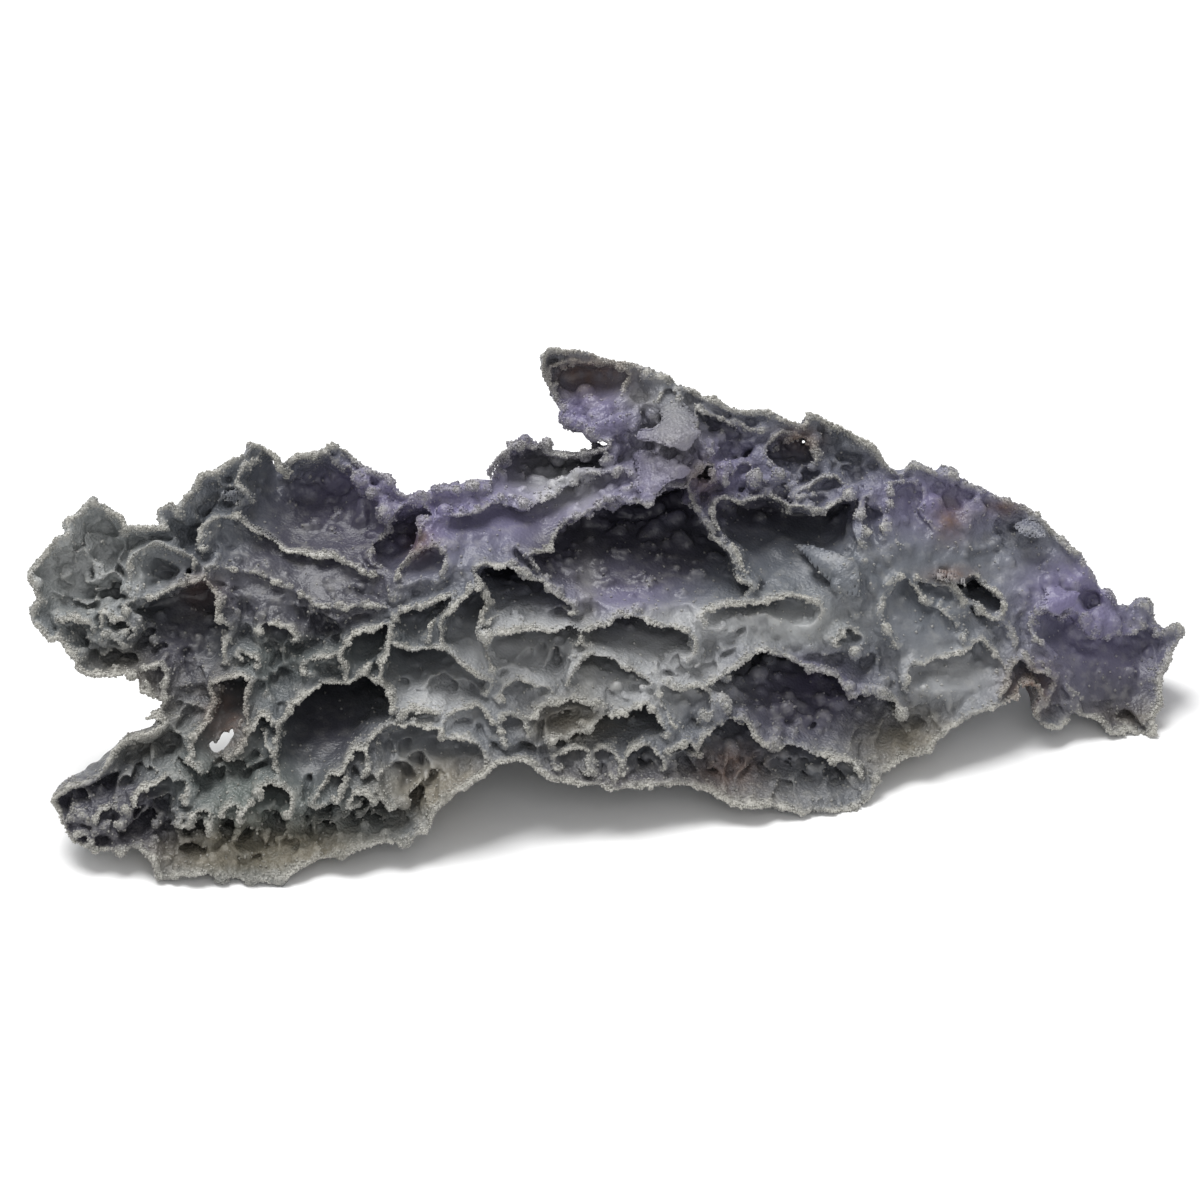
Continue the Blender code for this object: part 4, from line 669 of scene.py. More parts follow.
# %% Where the ground is smooth, porous or swollen
GROUND_DROP = 5.5                     # how far the ground sinks between two lips, millimetres
GROUND_SLOPE = 2.6                    # distance from a lip over which it does so
LIP_HALF = 0.5                        # distance from a lip at which it starts to
GROUND_PATCHES = (9, 71)              # spacing and seed of the blobs that vary the drop
SMOOTH_LEVEL = 0.75                   # share of the drop that a smooth slope doesn't have
POROUS_LEVEL = 0.6                    # the same for the porous places, which are pitted instead
FOOT_FACING = 0.45                    # share of an edge's outward direction beyond which it faces down
PITS = [(5.2, 2.6, 11), (2.6, 1.5, 12)]   # spacing, depth and seed
PIT_START, PIT_RUN = 0.8, 2           # distance from a lip where pits begin, and until they are full
SMOOTH_SLOPES = [(545, 500, 105, 45), (925, 540, 80, 60), (1110, 660, 60, 55), (600, 385, 45, 35),
                 (440, 560, 50, 30), (290, 560, 40, 40), (920, 610, 60, 50), (950, 680, 60, 35),
                 (790, 625, 50, 25), (650, 600, 90, 22), (1050, 575, 60, 40), (300, 575, 80, 40)]
POROUS = [(90, 560, 60, 60), (120, 640, 60, 40), (200, 835, 150, 40), (90, 815, 40, 40),
          (380, 800, 50, 30), (150, 760, 60, 30), (690, 800, 120, 25)]
BULGE = 2.6                           # height of a bulge towards the viewer
BULGES = [(85, 560, 38, 42), (590, 425, 40, 25)]
SOUND_SHARE = 0.5                     # share of the thickness that the ground may sink by
POROUS_GAIN = 1.3                     # how much deeper the pits of the porous places are
smooth_slope, porous, swollen = (soft_spots(flat_column, flat_row, places)
                                 for places in (SMOOTH_SLOPES, POROUS, BULGES))
print("porous share of the outline:", round(float(porous[outline_map < 0].mean()), 2))

# %% Pits and lips
PIT_WALL_GAIN = 2.2                   # how steeply a pit's floor rises to its wall


def pit_map(cell, seed):
    """Bowls with thin walls: difference of the distances to the two nearest scattered points."""
    u, v = flat_x / cell, flat_y / cell
    base_u, base_v = np.floor(u).astype(int), np.floor(v).astype(int)
    low_u, low_v = base_u.min() - 1, base_v.min() - 1
    points = np.random.default_rng(seed).uniform(0, 1, (np.ptp(base_u) + 3, np.ptp(base_v) + 3, 2))
    first = np.full(u.shape, 9.0)
    second = first.copy()
    for du, dv in np.ndindex(3, 3):
        cu, cv = base_u + du - 1, base_v + dv - 1
        point = points[cu - low_u, cv - low_v]
        gap = np.hypot(cu + point[..., 0] - u, cv + point[..., 1] - v)
        second = np.minimum(second, np.maximum(first, gap))
        first = np.minimum(first, gap)
    return np.clip((second - first) * PIT_WALL_GAIN, 0, 1)


def lip_distance():
    """Distance to the nearest lip: the outline, and every edge of a rim that doesn't face down."""
    square = outline_map.astype(float) ** 2
    for depth, lean, rim in CELLS.values():
        loop = outline_mm(rim)
        after = np.roll(loop, -1, axis=0)
        winding = np.sign((loop[:, 0] * after[:, 1] - loop[:, 1] * after[:, 0]).sum())
        for (ax, ay), (bx, by) in zip(loop, after):
            ex, ey = bx - ax, by - ay
            if -ex * winding < -FOOT_FACING * math.hypot(ex, ey):
                continue
            t = np.clip(((flat_x - ax) * ex + (flat_y - ay) * ey) / (ex * ex + ey * ey), 0, 1)
            square = np.minimum(square, (flat_x - ax - ex * t) ** 2 + (flat_y - ay - ey * t) ** 2)
    return np.sqrt(square)


lip = lip_distance().astype(np.float32)
print("farthest place from a lip, mm:", round(float(lip[outline_map < 0].max()), 1))

# %% Sunk ground
in_pouch = np.zeros(flat_x.shape, np.float32)
for depth, lean, rim in CELLS.values():
    in_pouch = np.maximum(in_pouch, np.clip(-polygon_distance(flat_x, flat_y, outline_mm(rim)), 0, 1))
sunk_ground = GROUND_DROP * (1 - np.exp(-np.maximum(lip - LIP_HALF, 0) / GROUND_SLOPE))
sunk_ground = sunk_ground * (1 - SMOOTH_LEVEL * smooth_slope)
sunk_ground = sunk_ground * (0.75 + 0.5 * blobs(*GROUND_PATCHES, SHAPE[:2]))
sunk_ground = sunk_ground * (1 - POROUS_LEVEL * porous)
pit_reach = np.clip((lip - PIT_START) / PIT_RUN, 0, 1)
for cell, pit_depth, seed in PITS:
    sunk_ground += (pit_depth * (1 + POROUS_GAIN * porous) * pit_map(cell, seed) * pit_reach
                    * (1 - smooth_slope))
sunk_ground = np.minimum(sunk_ground, SOUND_SHARE * rear)
ragged = (ragged - sunk_ground + BULGE * swollen).astype(np.float32)
print("ground sinks by up to, mm:", round(float(sunk_ground[outline_map < 0].max()), 1))

# %% [markdown]
# The block is now filled. A place is stone where it is inside the outline, in front of the rear and
# behind the front, so its number is the largest of the three, rounded where two of them meet.

# %% Fill the block
EDGE_LUMP = 0.7                       # height of the lumps along the outline, millimetres
EDGE_LUMPS = (4.2, 61)                # their spacing and seed
REAR_BLEND, FRONT_BLEND = 2.0, 0.6    # rounding where the rear and the front meet the outline
Y = Y - feet_ruffle().astype(np.float32)
stone = read_map(outline_map.astype(np.float32), X, Y) + EDGE_LUMP * blobs(*EDGE_LUMPS)
stone = greater(stone, D - read_map(rear, X, Y), REAR_BLEND)
stone = greater(stone, -(D + read_map(ragged, X, Y)), FRONT_BLEND).astype(np.float32)
print("body:", round(float((stone < 0).sum() * STEP ** 3 / 1000)), "cm3")

# %% [markdown]
# ## Pouches and leaves
# A pouch is the traced rim, carried back and drawn in, with a rounded floor that rises from its brow
# to its foot. It could be a tapered mesh that is cut out, but thousands of small cuts that touch tend
# to fail, while in a block a cut is one comparison. The walls are what is left between the pouches.

# %% A part of the block
NEAREST = -4                          # depth where the block begins, millimetres


def block_part(loop, margin, nearest, farthest):
    """The part of the block round an outline, between two depths."""
    low, high = loop.min(axis=0) - margin, loop.max(axis=0) + margin
    return (slice(*np.searchsorted(xs, (low[0], high[0]))), slice(*np.searchsorted(ys, (low[1], high[1]))),
            slice(*np.searchsorted(ds, (nearest, farthest))))


# %% Pouches
DEEP_POUCH = 11                       # depth from which a pouch narrows late, millimetres
SHALLOW_SHARE = 0.8                   # share of their depth that crust leaves in the shallow pouches
# How a pouch's size falls with its depth: at the rim, straight part, power part, power
DEEP_TAPER, SHALLOW_TAPER = (1.02, 0.12, 0.34, 3), (1.04, 0.2, 0.2, 2)
LIP_ROUNDING = 0.3                    # millimetres
RIM_GROWTH = 0.25                     # how far a pouch is cut beyond its traced rim, millimetres
FOOT_SHARE = 0.2                      # depth of a pouch's floor at its foot, beside that at its brow
FLOOR_FALL = 0.7                      # how fast the number changes through the floor
FLOOR_ROUNDING = (4.0, 0.4)           # largest, in millimetres and as a share of the depth


def carve_pouch(depth, lean, rim):
    """Rim scaled by a size that falls with the depth, and a floor at that depth, rounded together."""
    loop = outline_mm(rim)
    low, high = loop.min(axis=0), loop.max(axis=0)
    pivot = low + (high - low) * np.array([0.5, lean], np.float32)
    part = block_part(loop, 4, NEAREST, depth + 4)
    share = np.clip(D[part] / depth, -0.3, 1.1)
    whole, straight, bent, power = DEEP_TAPER if depth > DEEP_POUCH else SHALLOW_TAPER
    size = whole - straight * share - bent * np.maximum(share, 0) ** power
    px, py = pivot[0] + (X[part] - pivot[0]) / size, pivot[1] + (Y[part] - pivot[1]) / size
    wall = polygon_distance(px, py, loop) * size
    rise = np.clip((Y[part] - low[1]) / (high[1] - low[1]), 0, 1)
    floor_depth = depth * (FOOT_SHARE + (1 - FOOT_SHARE) * rise)
    rounding = min(FLOOR_ROUNDING[0], depth * FLOOR_ROUNDING[1])
    hollow = greater(wall - RIM_GROWTH, (D[part] - floor_depth) * FLOOR_FALL, rounding)
    stone[part] = greater(stone[part], -hollow, LIP_ROUNDING)


for depth, lean, rim in CELLS.values():
    carve_pouch(depth if depth > DEEP_POUCH else depth * SHALLOW_SHARE, lean, rim)
print("pouches:", len(CELLS), "left:", round(float((stone < 0).sum() * STEP ** 3 / 1000)), "cm3")

# %% [markdown]
# A leaf is a thin sheet of stone that leans out of the face. It is the set of places that are near a
# slanting surface and inside the leaf's rim, and it is fused to the walls that it touches.

# %% Leaves
LEAF_THICKNESS = 1.4                  # millimetres
LEAF_EDGE = 0.35                      # share of it that is left at the rim
LEAF_WAVE = 0.45                      # share of the waviness that a leaf has
LEAF_ROUNDING, LEAF_BLEND = 0.4, 0.8  # of its edge, and where it meets a wall


def add_leaf(root, tip, rim):
    """A sheet round the slanting surface from root to tip, thinner towards its rim."""
    loop = outline_mm(rim)
    start, end = np.array(picture_point(*root[:2])), np.array(picture_point(*tip[:2]))
    slope = (end - start) / ((end - start) ** 2).sum()
    part = block_part(loop, 3, NEAREST, max(root[2], tip[2]) + 6)
    px = xs[part[0], None, None] + LEAF_WAVE * wobble[0][part]
    py = ys[None, part[1], None] + LEAF_WAVE * wobble[1][part]
    pd = ds[None, None, part[2]] + LEAF_WAVE * wobble[2][part]
    share = np.clip((px - start[0]) * slope[0] + (py - start[1]) * slope[1], -0.5, 1.2)
    middle = root[2] + (tip[2] - root[2]) * share
    edge = polygon_distance(px, py, loop)
    half_thickness = LEAF_THICKNESS / 2 * np.clip(-edge / 2, LEAF_EDGE, 1)
    leaf = greater(edge, np.abs(pd - middle) - half_thickness, LEAF_ROUNDING)
    stone[part] = lesser(stone[part], leaf, LEAF_BLEND)


for root, tip, rim in FLAPS.values():
    add_leaf(root, tip, rim)
print("leaves:", len(FLAPS))

# %% [markdown]
# ## Beads
# Grape agate is named for its beads. Each grew on a wall, so its place is found by looking along the
# line of sight through its traced middle until stone is met, and a ball is fused on there.

# %% Looking into the block
FIRST_LOOK, LAST_LOOK = -3.5, 60      # depths between which stone is looked for, millimetres
SIGHT_TURNS = 4                       # corrections that bring a line of sight through its pixel


def read_block(values, px, py, pd):
    """The block read at places between its points, from the nearest one."""
    i = np.clip(np.rint((px - xs[0]) / STEP), 0, len(xs) - 1).astype(int)
    j = np.clip(np.rint((py - ys[0]) / STEP), 0, len(ys) - 1).astype(int)
    k = np.clip(np.rint((pd - ds[0]) / STEP), 0, len(ds) - 1).astype(int)
    return values[i, j, k]


def under_sight(right, up):
    """First stone along the line of sight through right, up: grid x, y, depth and away, or nan."""
    depths = np.arange(FIRST_LOOK, LAST_LOOK, STEP / 2)[:, None]
    x, y = right + 0 * depths, up + 0 * depths
    for turn in range(SIGHT_TURNS):
        shown = seen_at(x, y, depths)
        x, y = x + right - shown[0], y + up - shown[1]
    solid = read_block(stone, x, y, depths) < 0
    first = solid.argmax(axis=0)
    column = np.arange(len(right))
    hit = solid.any(axis=0)
    places = (x, y, depths + 0 * x, seen_at(x, y, depths)[2])
    return [np.where(hit, place[first, column], np.nan) for place in places]


# %% Traced beads
BEAD_SINK, BEAD_BLEND = 0.3, 0.9      # share of the radius that is sunk, and rounding in millimetres


def fuse_balls(balls, sink, blend):
    """Fuses balls (column, row, radius in pixels) to the stone that is seen at their middles.

    A ball is the distance to its middle less its radius, as seen in the picture, so that it stays round.
    """
    balls = np.array(balls, float)
    right, up = picture_point(balls[:, 0], balls[:, 1])
    radius = balls[:, 2] * PIXEL
    x, y, depth, away = under_sight(right, up)
    for number in np.flatnonzero(~np.isnan(x)):
        r = radius[number]
        centre = away[number] + r * sink
        reach = r * 1.25 + 1.5
        part = (slice(*np.searchsorted(xs, (x[number] - reach, x[number] + reach))),
                slice(*np.searchsorted(ys, (y[number] - reach * 1.6, y[number] + reach * 1.6))),
                slice(*np.searchsorted(ds, (depth[number] - reach * 1.4, depth[number] + reach * 1.8))))
        shown = seen_at(xs[part[0], None, None], ys[None, part[1], None], ds[None, None, part[2]])
        ball = np.sqrt((shown[0] - right[number]) ** 2 + (shown[1] - up[number]) ** 2
                       + (shown[2] - centre) ** 2) - r
        stone[part] = lesser(stone[part], ball, min(blend, r * 0.5))
    return int((~np.isnan(x)).sum())


print("traced beads:", fuse_balls(GRAPES, BEAD_SINK, BEAD_BLEND), "of", len(GRAPES))

# %% [markdown]
# The smaller beads are too many to trace. They are scattered at random over the zones where the photo
# shows them, thickest in the middle of each zone, with many small beads for each large one.

# %% Scattered beads
# Each zone: column, row, reach across, reach up or down, how many, smallest and largest radius, pixels.
BEAD_ZONES = [
    (640, 505, 75, 40, 60, 4, 9), (560, 470, 60, 30, 34, 4, 8), (455, 500, 30, 30, 20, 5, 9),
    (600, 415, 45, 25, 40, 5, 10), (740, 455, 60, 28, 70, 4, 9), (830, 455, 50, 25, 26, 4, 8),
    (930, 500, 80, 40, 44, 3, 7), (1000, 550, 60, 40, 26, 3, 7), (1095, 610, 45, 20, 30, 5, 10),
    (860, 590, 30, 60, 26, 4, 7), (770, 700, 80, 40, 70, 4, 10), (860, 700, 50, 30, 24, 4, 8),
    (360, 500, 50, 40, 36, 4, 8), (320, 480, 60, 25, 30, 3, 7), (270, 480, 30, 30, 14, 3, 6),
    (215, 620, 40, 50, 26, 3, 7), (330, 600, 60, 30, 20, 3, 5), (620, 570, 120, 30, 60, 3, 7),
    (500, 600, 60, 30, 30, 3, 6), (90, 570, 50, 60, 70, 3, 7), (150, 650, 60, 40, 40, 3, 6),
    (180, 835, 120, 40, 110, 3, 8), (330, 840, 70, 40, 60, 3, 8), (660, 700, 200, 60, 60, 3, 6),
    (190, 865, 100, 10, 70, 2.5, 5), (640, 790, 120, 12, 60, 2.5, 5), (830, 800, 60, 8, 30, 2.5, 5),
    (960, 620, 60, 60, 30, 3, 6), (1110, 660, 45, 45, 26, 3, 7), (840, 780, 70, 25, 30, 3, 7),
]
ZONE_SPREAD = 0.6                     # how far the beads scatter, as a share of the zone's reach
SMALL_BEADS = 1.6                     # power that makes small beads the more common ones
rng = np.random.default_rng(2024)
scattered_beads = []
for column, row, across, upright, count, smallest, largest in BEAD_ZONES:
    spot = rng.normal(size=(count, 2)) * (across, upright) * ZONE_SPREAD + (column, row)
    radius = smallest + (largest - smallest) * rng.uniform(size=count) ** SMALL_BEADS
    scattered_beads += [(x, y, r) for (x, y), r in zip(spot, radius)]
print("scattered beads:", fuse_balls(scattered_beads, BEAD_SINK, BEAD_BLEND), "of", len(scattered_beads))

# %% [markdown]
# The lips themselves are fringed with small beads, and in a few places beads have grown together into
# short chains. Both are rows of balls along traced lines.

# %% Beads on the lips
FRINGE_STEP = 8                       # pixels between places for a bead along a lip
FRINGE_SHARE = 0.55                   # share of the places that have one
FRINGE_RADII = (1.8, 4.6)             # pixels
FRINGE_SINK, FRINGE_BLEND = 0.2, 0.6
FRINGE_JITTER = 1.5                   # pixels that a bead strays from the lip
FRINGE_BELOW = 12                     # pixels below a rim's middle down to which it has beads
CHAIN_STEP = 1.3                      # from bead to bead of a chain, in radii
CHAINS = [                            # radius and line, pixels
    (5, [(704, 455), (722, 446), (741, 455)]), (5, [(722, 470), (727, 492), (745, 500), (755, 483)]),
    (6, [(757, 475), (770, 470), (795, 480), (793, 490)]), (5, [(762, 492), (780, 490), (812, 507)]),
    (4, [(690, 500), (704, 518), (718, 534), (735, 551), (740, 568), (757, 590)]),
    (4, [(1022, 652), (1033, 667), (1045, 660), (1058, 678), (1072, 695), (1081, 718)]),
]


def along_line(points, step):
    """Places at even steps along a line through the points."""
    points = np.array(points, float)
    runs = np.hypot(*np.diff(points, axis=0).T)
    at = np.arange(0, runs.sum(), step)
    travelled = np.concatenate([[0], np.cumsum(runs)])
    return np.stack([np.interp(at, travelled, points[:, axis]) for axis in (0, 1)], axis=1)


fringe = []
for depth, lean, rim in CELLS.values():
    places = along_line([*rim, rim[0]], FRINGE_STEP)
    middle_row = np.mean([row for column, row in rim])
    keep = (rng.uniform(size=len(places)) < FRINGE_SHARE) & (places[:, 1] < middle_row + FRINGE_BELOW)
    radius = rng.uniform(*FRINGE_RADII, len(places))
    strayed = places[keep] + rng.normal(size=(keep.sum(), 2)) * FRINGE_JITTER
    fringe += [(x, y, r) for (x, y), r in zip(strayed, radius)]
for radius, points in CHAINS:
    fringe += [(x, y, radius * rng.uniform(0.8, 1.2)) for x, y in along_line(points, radius * CHAIN_STEP)]
print("beads on lips:", fuse_balls(fringe, FRINGE_SINK, FRINGE_BLEND), "of", len(fringe))

# %% [markdown]
# The rear isn't seen in the photo. It is taken to be a lumpy crust of the same beads, as such pieces
# mostly are, so balls of several sizes are sunk in it at random.

# %% Beads on the rear
REAR_BEADS = 700                      # places that are tried
REAR_BEAD_RADII = (1.0, 3.4)          # millimetres
REAR_BEAD_SINK = 0.35
REAR_BEAD_INSET = 1.5                 # least distance from the outline, millimetres
REAR_BEAD_BLEND = (0.7, 0.4)          # largest rounding, in millimetres and as a share of the radius
columns, rows = np.nonzero(outline_map < -REAR_BEAD_INSET)
tried = rng.choice(len(columns), REAR_BEADS, replace=False)
made = 0
for i, j in zip(columns[tried], rows[tried]):
    radius = REAR_BEAD_RADII[0] + (REAR_BEAD_RADII[1] - REAR_BEAD_RADII[0]) * rng.uniform() ** 2
    centre = (xs[i], ys[j], rear[i, j] - radius * REAR_BEAD_SINK)
    if outline_map[i, j] > -radius or centre[2] < 3 * radius:
        continue
    part = tuple(slice(*np.searchsorted(axis, (middle - radius * 2, middle + radius * 2)))
                 for axis, middle in zip((xs, ys, ds), centre))
    grid = [axis[piece].reshape(shape) for axis, piece, shape in
            zip((xs, ys, ds), part, ((-1, 1, 1), (1, -1, 1), (1, 1, -1)))]
    gap = in_room(*np.broadcast_arrays(*seen_at(*grid))) - in_room(*seen_at(*centre))
    ball = np.linalg.norm(gap, axis=-1) - radius
    stone[part] = lesser(stone[part], ball, min(REAR_BEAD_BLEND[0], radius * REAR_BEAD_BLEND[1]))
    made += 1
print("beads on the rear:", made, "of", REAR_BEADS)

# %% [markdown]
# ## Windows
# Light comes through the piece at the tall window, and there are two pinholes. They are cut last, along
# the line of sight, so that no bead is left across them. The window widens towards the rear, so that
# its neck alone decides what is seen of it.

# %% Windows
HOLE_NECK = 5                         # depth from which a hole widens, millimetres
HOLE_FLARE = 0.7                      # how fast the window widens towards the rear
SIGHT_DRIFT = 40                      # how far a line of sight wanders over the block, millimetres
REARMOST = 61                         # depth where the block ends, millimetres


def cut_hole(rim, flare):
    """The rim carried along the line of sight, wider by flare for each millimetre past the neck."""
    loop = outline_mm(rim)
    part = block_part(loop, SIGHT_DRIFT, NEAREST, REARMOST)
    right, up, away = seen_at(xs[part[0], None, None], ys[None, part[1], None], ds[None, None, part[2]])
    hole = polygon_distance(right + wobble[0][part], up + wobble[1][part], loop)
    hole = hole - flare * np.maximum(ds[None, None, part[2]] - HOLE_NECK, 0)
    stone[part] = greater(stone[part], -hole, LIP_ROUNDING)


for name, rim, flare in [(name, rim, flare) for rims, flare in ((HOLES, HOLE_FLARE), (PINHOLES, 0))
                         for name, rim in rims.items()]:
    cut_hole(rim, flare)
    right, up = picture_point(*np.mean(rim, axis=0))
    met = under_sight(np.array([right]), np.array([up]))[0]
    print(name, "is clear through:", bool(np.isnan(met[0])))

# %% [markdown]
# ## From the block to a surface
# Wherever neighbouring numbers change sign the surface passes between them. Each little cube of eight
# numbers that it passes through gets one vertex, at the mean of the crossings on its edges, and each
# crossed edge gets one four-sided face from the four cubes round it. The mesh closes by itself. Such a
# mesh is more even than triangles made cube by cube, which leave many slivers.

# %% Crossed cubes
def crossed_cubes(inside):
    """The cubes with corners on both sides of the surface: their places, and their numbers in a block."""
    shape = [n - 1 for n in inside.shape]
    corners = sum(inside[di:di + shape[0], dj:dj + shape[1], dk:dk + shape[2]].astype(np.int8)
                  for di, dj, dk in np.ndindex(2, 2, 2))
    crossed = (corners > 0) & (corners < 8)
    number = np.full(crossed.shape, -1, np.int32)
    number[crossed] = np.arange(crossed.sum())
    return np.argwhere(crossed), number


def crossing_means(values, at):
    """Mean of the places where the edges of each cube cross zero, in block steps."""
    total, count = np.zeros((len(at), 3), np.float32), np.zeros(len(at), np.float32)
    for axis in range(3):
        others = [a for a in range(3) if a != axis]
        for shift in np.ndindex(2, 2):
            start = at.copy()
            start[:, others[0]] += shift[0]
            start[:, others[1]] += shift[1]
            end = start.copy()
            end[:, axis] += 1
            a, b = values[tuple(start.T)], values[tuple(end.T)]
            cut = (a < 0) != (b < 0)
            t = np.where(cut, a / np.where(cut, a - b, 1), 0)
            spot = start.astype(np.float32)
            spot[:, axis] += t
            total += spot * cut[:, None]
            count += cut
    return total / count[:, None]


# %% Surface
def surface(values):
    """Vertices (in block steps) and quads of the zero surface: one vertex in each crossed cube.

    Depth runs away from the viewer, so the block is a mirror image and the quads are wound for that.
    """
    inside = values < 0
    at, number = crossed_cubes(inside)
    quads = []
    for axis in range(3):
        u, v = (axis + 1) % 3, (axis + 2) % 3
        window = [slice(1, -1)] * 3
        window[axis] = slice(0, -1)
        a = inside[tuple(window)]
        ahead = list(window)
        ahead[axis] = slice(1, None)
        b = inside[tuple(ahead)]
        where = np.argwhere(a != b) + np.array([0 if k == axis else 1 for k in range(3)])
        ring = []
        for du, dv in ((0, 0), (-1, 0), (-1, -1), (0, -1)):
            corner = where.copy()
            corner[:, u] += du
            corner[:, v] += dv
            ring.append(number[tuple(corner.T)])
        ring = np.stack(ring, axis=1)
        out = inside[tuple(where.T)]
        quads.append(np.where(out[:, None], ring[:, ::-1], ring))
    return crossing_means(values, at), np.concatenate(quads)


for side in (0, -1):
    stone[side], stone[:, side], stone[:, :, side] = 1, 1, 1   # nothing reaches the end of the block
spots, quads = surface(stone)
print("vertices:", len(spots), "quads:", len(quads))

# %% [markdown]
# Cutting leaves a few crumbs in the air. Every vertex starts with its own number and takes the least
# one of its neighbours, again and again, until each loose piece has one number of its own. Only the
# largest piece is kept, and its vertices are then turned from block steps into millimetres.

# %% One piece
def keep_largest(count, quads):
    """Marks the vertices that hang together with the largest piece."""
    label = np.arange(count)
    while True:
        least = label[quads].min(axis=1)
        after = label.copy()
        np.minimum.at(after, quads.ravel(), np.repeat(least, 4))
        after = after[after]
        if (after == label).all():
            break
        label = after
    return label == np.bincount(label).argmax()


kept = keep_largest(len(spots), quads)
quads = quads[kept[quads[:, 0]]]
print("crumbs left out:", int((~kept).sum()), "vertices")
gx, gy, gd = (spots * STEP + np.array([xs[0], ys[0], ds[0]], np.float32)).T
shown = seen_at(gx, gy, gd)
room = in_room(*shown)
print("surface box, mm:", room[kept].min(axis=0).round(1), room[kept].max(axis=0).round(1))

# %% [markdown]
# ## What each place of the surface knows about itself
# The look of the stone follows its shape. Thin lips are pale, for their sugary crust and as painted light
# that passes through them, and places deep in a pouch or with stone all round are painted dark, as shade.
# So each vertex is told how much stone is close round it and how much within a few millimetres, by
# blurring the block. A painted image would do, but it needs a flat map of a very folded surface, and a
# mark on each vertex doesn't.

# %% Surroundings
NEAR_BLUR, WIDE_BLUR = 1.5, 7.0       # width of the cube that is looked at, millimetres


def blurred(values, width):
    """Mean over a cube of that width, taken twice, with running sums along each axis."""
    reach = max(1, round(width / STEP / 2))
    for axis in (0, 1, 2, 0, 1, 2):
        count = values.shape[axis]
        sums = np.cumsum(values, axis=axis, dtype=np.float32)
        ahead = np.minimum(np.arange(count) + reach, count - 1)
        behind = np.arange(count) - reach - 1
        back = np.take(sums, np.maximum(behind, 0), axis)
        mask_shape = [count if a == axis else 1 for a in range(3)]
        values = (np.take(sums, ahead, axis) - back * (behind >= 0).reshape(mask_shape)) / (2 * reach + 1)
    return values


solid = np.clip(0.5 - stone / STEP, 0, 1)
index = tuple(np.rint(spots).astype(int).T)
close_stone = blurred(solid, NEAR_BLUR)[index]
wide_stone = blurred(solid, WIDE_BLUR)[index]
del solid
print("stone close by:", np.percentile(close_stone, (5, 50, 95)).round(2),
      "wide:", np.percentile(wide_stone, (5, 50, 95)).round(2))

# %% [markdown]
# The specimen isn't tinted evenly. Violet lies in the hollows and along the crest, cream and rust on the
# lower edge and in a few spots, and the floors of some pouches are pale. Each tint is a mark too, a few
# soft bells at given places. Those that belong to the face alone are kept off the rear.

# %% Tinted places
# Each is (column, row, reach across, reach up or down) in the picture's pixels.
TINTS = {
    "violet": [(530, 500, 110, 60), (390, 520, 60, 50), (350, 500, 60, 34), (700, 470, 90, 50),
               (1110, 650, 70, 50), (560, 470, 60, 40), (590, 415, 50, 30), (800, 690, 60, 40),
               (930, 500, 90, 34), (1070, 590, 50, 36), (620, 590, 60, 30)],
    "cream": [(440, 785, 60, 30), (570, 720, 45, 25), (910, 745, 60, 35), (300, 850, 90, 25),
              (620, 800, 160, 30), (180, 850, 90, 25), (130, 700, 50, 50), (1130, 715, 50, 14)],
    "rust": [(590, 374, 42, 20), (225, 718, 22, 36), (200, 592, 18, 16), (730, 765, 34, 22),
             (420, 543, 16, 16), (1005, 508, 18, 8), (950, 520, 16, 20), (702, 480, 14, 16),
             (1028, 688, 26, 26), (950, 574, 24, 8), (800, 440, 22, 14)],
    "pale": [(520, 645, 60, 34), (645, 668, 80, 38), (950, 672, 50, 24), (690, 620, 60, 14),
             (80, 560, 60, 55), (790, 625, 60, 26), (440, 700, 50, 30), (560, 480, 50, 30),
             (520, 650, 50, 30), (650, 670, 60, 30)],
    "green": [(80, 565, 70, 70), (250, 800, 150, 90), (300, 640, 100, 60), (800, 640, 50, 30)],
    "white": [(637, 398, 14, 9), (672, 440, 36, 50), (587, 650, 12, 110)],
    # painted shade under brows and in deep vaults, with some darker stone at the right end
    "shade_and_dark_tone": [(570, 552, 34, 26), (650, 558, 50, 18), (765, 508, 45, 18), (1115, 690, 60, 40),
             (90, 820, 70, 50), (620, 550, 80, 32), (300, 590, 90, 50), (180, 650, 50, 60),
             (620, 562, 66, 26), (305, 588, 66, 34), (110, 820, 70, 40), (320, 580, 60, 40),
             (790, 710, 60, 40), (330, 520, 60, 40), (330, 730, 60, 60), (560, 455, 60, 25),
             (620, 790, 120, 30)],
}
FACE_ONLY = ("rust", "white", "pale", "shade_and_dark_tone")
shown_column, shown_row = in_pixels(*shown[:2])
marks = {name: soft_spots(shown_column, shown_row, places) for name, places in TINTS.items()}
corner = room[quads]
facing = np.cross(corner[:, 2] - corner[:, 0], corner[:, 3] - corner[:, 1])
normals = np.stack([np.bincount(quads.ravel(), np.repeat(facing[:, axis], 4), len(room))
                    for axis in range(3)], axis=1)
normals /= np.linalg.norm(normals, axis=1, keepdims=True) + 1e-9
volume = float((facing * corner[:, 0]).sum() / 6000)
print("volume, cm3, positive when the faces look outward:", round(volume))
in_front = np.clip(0.6 + 1.5 * normals @ toward_camera, 0, 1)
for name in FACE_ONLY:
    marks[name] = marks[name] * in_front
print("marked share of each tint:", {name: round(float(mark.mean()), 2) for name, mark in marks.items()})

# %% [markdown]
# Four more marks follow the shape. Thin is high on the lips that stand free, except on the leaves. Deep
# grows with the depth in a pouch. Rough is low on the smooth floors, and sunk is high where stone lies
# all round. The numbers are limits between which each mark rises from 0 to 1.

